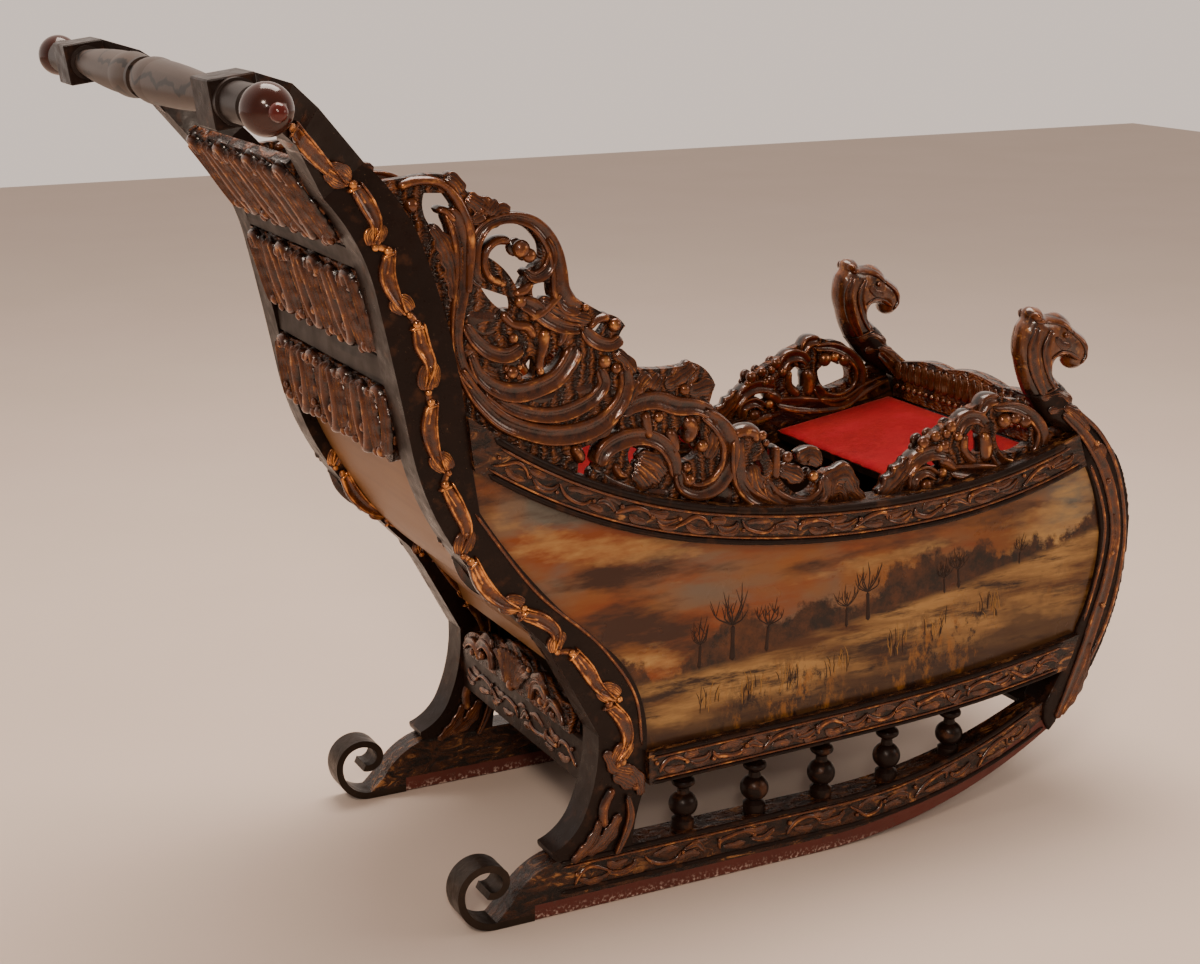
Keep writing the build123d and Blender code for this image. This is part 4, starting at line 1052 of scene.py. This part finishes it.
def post_chain(side, hand):
    """Drops linked by short stalks down the post; inside the sled the chain starts at the second."""
    carving = Carving()
    outer, inner = side_face(side, OUTER_FACE, 1), side_face(side, INNER_FACE, -1)
    for drop in POST_DROPS:
        carving.add(outer, drop_strokes(drop), 7.5, 0.3)
    for above, below in zip(POST_DROPS, POST_DROPS[1:]):
        stalk = [(*above[2], 5), (*above[3], 8), (*below[0], 9), (*below[1], 5)]
        carving.stroke(outer, "round", stalk, 4.5, 0.3)
    for drop in POST_DROPS[1:]:
        carving.add(inner, drop_strokes(drop), 5.0, 0.3)
    drape(carving.build("post_chain_" + hand, CHAIN, "gilt_carving"), "rear_post_" + hand, side)


# Beads and strips along the rails, one row each: start, end, offset, width and height
TOP_BEADS = ((62, 905, 13.0, 4.5, 3.2), (62, 912, -13.5, 4.0, 3.0))
TOP_STRIPS = ((50, 898, 19.0, 9.0, 3.6), (66, 915, -19.0, 7.0, 3.2))
BOTTOM_BEADS = ((6, 620, 14.0, 4.0, 2.8), (6, 612, -14.0, 3.5, 2.6))
BOTTOM_STRIPS = ((4, 625, 18.5, 6.0, 3.0), (4, 610, -18.5, 5.0, 2.8))
RUNNER_BEADS = ((6, 715, 16.0, 4.0, 2.6),)
RUNNER_STRIPS = ((4, 722, 22.5, 6.0, 3.0), (4, 725, -17.0, 6.0, 2.6))
STEM_KNOBS = ((460.5, 445.0), (469.5, 388.0))


def rail_ornament(side, hand):
    carving, dark_strips = Carving(), Carving()
    rail_face, runner_face = side_face(side, RAIL_FACE, 1), side_face(side, RUNNER_FACE, 1)
    for plane, path, beads, strips in (
        (rail_face, TOP_RAIL, TOP_BEADS, TOP_STRIPS),
        (rail_face, BOTTOM_RAIL, BOTTOM_BEADS, BOTTOM_STRIPS),
        (runner_face, RUNNER, RUNNER_BEADS, RUNNER_STRIPS),
    ):
        for target, rows in ((carving, beads), (dark_strips, strips)):
            for begin, end, offset, width, height in rows:
                target.stroke(plane, "round", line_beside(path, begin, end, offset, width), height, 0.2, 6.0)
    carving.add(rail_face, leaf_run(TOP_RAIL, 66, 902, 82, 21, 3), 3.2, 0.2)
    carving.add(rail_face, leaf_run(BOTTOM_RAIL, 10, 612, 74, 22, 5), 3.0, 0.2)
    carving.add(runner_face, leaf_run(RUNNER, 12, 712, 88, 26, 7), 3.0, 0.2)
    for x, z in STEM_KNOBS:
        dark_strips.ball(side_face(side, FRAME_Y, 1), x, z, 10.0, 0.0, 1.0)
    carving.build("rail_gilding_" + hand, GILT, "gilt_moulding")
    dark_strips.build("rail_mouldings_" + hand, DARK, "dark_varnish")


def head_and_stem(side, hand):
    """The sawn blocks rounded over to an oval section, with ridges that follow the round."""
    carving = Carving()
    for face, out in HEAD_FACES:
        carving.add(side_face(side, face, out), HEAD_RIDGES, 5.0, 1.0)
    ridges = carving.build("head_ridges_" + hand, GILT, "gilt_carving")
    whittle("carved_head_" + hand, "bird_head_" + hand, HEAD_BROWN,
            voxel=0.002, round_over=19.0, blend=(0.0, 0.001), smoothing=6, ridges=ridges)
    whittle("front_stem_" + hand, "carved_stem_" + hand, DARK,
            voxel=0.0025, round_over=21.0, blend=(0.470, 0.545), smoothing=4)


def back_carving():
    carving = Carving()
    for foot, top, drop in BACK_BOARDS:
        carving.add(rear_face(foot, top), hanging_loops(math.dist(foot, top), drop), 12.0, 0.3)
    carving.build("back_leaves", GILT, "gilt_carving")


def shell_and_cross_rail():
    carving = Carving()
    carving.add(rear_face((-318.0, 200.0), (-318.0, 264.0)), shell_crest(), 8.0, 0.5)
    cross_rail = rear_face((-311.0, 139.0), (-311.0, 200.0))
    cross_path = arc_path((-168.0, 30.0), 0.0, ((200000.0, 0.0963),))
    carving.add(cross_rail, leaf_run(cross_path, 4, 332, 82, 30, 9), 3.0, 0.2)
    carving.build("shell_and_cross_leaves", GILT, "gilt_carving")


def crest_board():
    """Fan of leaves over a row of beads on the board between the two necks."""
    carving = Carving()
    fan = [("leaf", (u, 26, 9), (u + 3, 44, 17), (u, 62 - abs(u) * 0.05, 9)) for u in range(-168, 169, 16)]
    beads = [("ball", *((u, 18, 7) for u in range(-168, 169, 14)))]
    carving.add(rear_face((380.0, 474.0), (380.0, 536.0)), fan + beads, 5.0, 0.3)
    # Pale worn bronze; the last colour given is the painted highlight on its ridge tops
    carving.build("crest_board_flutes", bronze("worn_bronze", 0.9, 0.15, (0.50, 0.36, 0.24)), "gilt_carving")


for side, hand in HANDS:
    crest_scrolls(side, hand)
    post_and_stem_gilding(side, hand)
    post_chain(side, hand)
    rail_ornament(side, hand)
    head_and_stem(side, hand)
back_carving()
shell_and_cross_rail()
crest_board()

# Brush strokes on the side panels: pollard willows along the far bank, reeds in front

WILLOWS = ((-28, 1.0), (18, 1.5), (66, 1.1), (182, 0.9), (214, 1.25), (330, 0.7), (352, 0.85), (447, 0.6))
REED_CLUMPS = (-12, 48, 96, 172, 260, 318, 402)


def ground_line(x):
    """Height of the far bank at x, in frame millimetres, following the sweep of the rails."""
    return 281 + 0.16e-3 * (x + 200) ** 2


def willow(chance, x, size):
    """Trunk with a knotted head and a fan of bare twigs, points in frame millimetres."""
    z = ground_line(x) - 4
    lean = chance.uniform(-0.12, 0.12)
    head = (x + lean * 30 * size, z + 30 * size)
    waist = (x + lean * 12 * size, z + 16 * size)
    rows = [("plate", (x, z, 6 * size), (*waist, 3.6 * size), (*head, 4.4 * size))]
    for k in range(9):
        turn = math.radians(34 + 14 * k + chance.uniform(-11, 11))
        reach = size * chance.uniform(15, 36)
        bend = (head[0] + 0.55 * reach * math.cos(turn), head[1] + 0.5 * reach * math.sin(turn))
        sway = chance.uniform(-4, 4)
        tip = (head[0] + 0.75 * reach * math.cos(turn) + sway, head[1] + reach * math.sin(turn) + 3)
        rows.append(("plate", (*head, 1.5 * size), (*bend, 1.0 * size), (*tip, 0.5)))
        for _ in range(2):
            fork = (bend[0] + chance.uniform(-9, 9), bend[1] + chance.uniform(5, 15) * size)
            rows.append(("plate", (*bend, 0.8 * size), (*fork, 0.45)))
    return rows


chance = np.random.default_rng(23)
trees = [row for x, size in WILLOWS for row in willow(chance, x, size)]
reeds, pale_reeds = [], []
for clump in REED_CLUMPS:
    for k in range(16):
        x = clump + chance.uniform(-17, 17)
        z = ground_line(x) - chance.uniform(46, 66)
        tall, sway = chance.uniform(12, 27), chance.uniform(-7, 7)
        row = ("plate", (x, z, 1.1), (x + 0.3 * sway, z + 0.6 * tall, 0.9), (x + sway, z + tall, 0.5))
        (reeds if k % 2 else pale_reeds).append(row)
strokes_dark = brush_paint("brush_dark", (0.008, 0.003, 0.002), (0.030, 0.010, 0.004))
strokes_pale = brush_paint("brush_pale", (0.20, 0.085, 0.014), (0.42, 0.22, 0.06))
for side, hand in HANDS:
    canvas = (np.array([0, side * PANEL_FACE, 0]), *side_face(side, 0, 1)[1:])
    for name, table, material in (
        ("willows_", trees + reeds, strokes_dark),
        ("reeds_", pale_reeds, strokes_pale),
    ):
        painting = Carving()
        painting.add(canvas, table, 0.6, 0.2)
        painting.build(name + hand, material, "painted_board")

# Seat cushion and velvet

PAD_START = (0.965, 0.965, 0.80)    # share of the seat's solid that the flat pad fills
PAD_VOXEL = 0.006
PAD_PRESSURE = 4.0
PAD_FRAMES = 20
PAD_SWELLING = 0.014                # furthest that a point may move
PAD_CROWN = 0.010                   # and rise above the solid's top
SHEET_CELLS = (44, 90)              # along the slope and across
SHEET_FRAY = 0.0028
SHEET_ROLL = 0.0030                 # how far the rounded edge turns down
SHEET_THICK = 0.0036
SHEET_LIFT = 0.0006
SHEET_FORWARD = 0.001
SHEET_INSET = 0.0005


def cushion():
    """Pad: a smaller copy of the seat's solid swells as cloth until it nearly fills its place."""
    solid = NODES["seat_cushion"]
    pad = new_piece("seat_pad", solid.data.copy())
    pad.matrix_world = solid.matrix_world
    points = coordinates(pad.data)
    low, high = points.min(axis=0), points.max(axis=0)
    centre = (low + high) / 2
    points[:] = centre + (points - centre) * PAD_START
    points[:, 2] -= 0.1 * (high - low)[2]
    pad.data.vertices.foreach_set("co", points.ravel())
    modifier = pad.modifiers.new("remesh", "REMESH")
    modifier.mode, modifier.voxel_size = "VOXEL", PAD_VOXEL
    rest = coordinates(bake(pad))
    cloth = pad.modifiers.new("cloth", "CLOTH")
    cloth.settings.use_pressure = True
    cloth.settings.uniform_pressure_force = PAD_PRESSURE
    cloth.settings.effector_weights.gravity = 0.0
    for step in range(1, PAD_FRAMES + 1):
        scene.frame_set(step)
    swollen = bpy.data.meshes.new_from_object(pad.evaluated_get(bpy.context.evaluated_depsgraph_get()))
    pad.modifiers.clear()
    scene.frame_set(1)
    pad.data = swollen
    move = coordinates(pad.data) - rest
    length = np.linalg.norm(move, axis=1, keepdims=True)
    moved = rest + move * np.minimum(1, PAD_SWELLING / np.maximum(length, 1e-9))
    # Flat underside, and no further out than the boards round it allow
    moved = np.clip(moved, low, high + (0, 0, PAD_CROWN))
    pad.data.vertices.foreach_set("co", moved.astype(np.float32).ravel())
    divide = pad.modifiers.new("divide", "SUBSURF")
    divide.levels = divide.render_levels = 1
    bake(pad)
    dress(pad, MATERIALS["red_velvet"])
    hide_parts("seat_cushion")


def sheet_faces(along, across):
    """Faces of a closed sheet: upper and under side, and the edge between them."""
    size = across + 1
    count = size * (along + 1)
    faces = []
    for j in range(along):
        for i in range(across):
            k = j * size + i
            faces.append((k, k + 1, k + size + 1, k + size))
            faces.append((count + k, count + k + size, count + k + size + 1, count + k + 1))
    edge = list(range(size)) + [j * size + across for j in range(1, along + 1)]
    edge += [along * size + i for i in range(size - 2, -1, -1)] + [j * size for j in range(along - 1, 0, -1)]
    for a, b in zip(edge, edge[1:] + edge[:1]):
        faces.append((b, a, count + a, count + b))
    return faces


def velvet_sheet():
    """Velvet lying on the sloping board, a little rumpled, its cut rear edge frayed and turned down."""
    solid = NODES["front_board_velvet"]
    points = np.array([tuple(solid.matrix_world @ v.co) for v in solid.data.vertices])
    low_end = points[points[:, 0] < points[:, 0].min() + 0.004]
    high_end = points[points[:, 0] > points[:, 0].max() - 0.004]
    rear = np.array([low_end[:, 0].min(), low_end[:, 2].max()])
    front = np.array([high_end[:, 0].max(), high_end[:, 2].max()])
    half = points[:, 1].max() - SHEET_INSET
    along, across = SHEET_CELLS
    chance = np.random.default_rng(11)
    fray = np.convolve(chance.uniform(-1, 1, across + 5), np.ones(4) / 4, "same")[2:-2]
    folds = [(*chance.uniform(-60, 60, 2), chance.uniform(0, 6.28), chance.uniform(0.1, 0.4))
             for _ in range(14)]
    top, under = [], []
    for j in range(along + 1):
        for i in range(across + 1):
            u, v = j / along, i / across
            ragged = SHEET_FRAY * fray[i] * max(0.0, 1 - 5 * u)
            x, z = rear + (front - rear) * u
            y = (2 * v - 1) * half
            rumple = 0.001 * sum(tall * math.sin(a * y + b * x + phase) for a, b, phase, tall in folds)
            edge = min(u * (along / 3), (1 - u) * along / 3, v * across / 3, (1 - v) * across / 3, 1.0)
            roll = 1 - math.sqrt(max(0.0, 1 - (1 - edge) ** 2))
            top.append((x + ragged + SHEET_FORWARD, y, z + SHEET_LIFT + rumple * edge - SHEET_ROLL * roll))
            under.append((x + ragged + SHEET_FORWARD, y, z - SHEET_THICK))
    sheet = new_piece("velvet_cover", new_mesh("velvet_cover", top + under, sheet_faces(along, across)))
    dress(sheet, MATERIALS["red_velvet"])
    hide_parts("front_board_velvet")


cushion()
velvet_sheet()

# Floor

def floor_paint():
    p = Paint("floor")
    p.bump(p.noise(30, 3), 0.05, 0.002)
    return p.set(colour=p.mix(p.noise(2, 4), (0.66, 0.54, 0.46), (0.72, 0.60, 0.52)), rough=0.9)


# Half a millimetre low, so that it never shows through the runners
bpy.ops.mesh.primitive_plane_add(size=14, location=(0, 0, -0.0005))
floor = bpy.context.object
floor.name = "floor"
floor.data.materials.append(floor_paint())
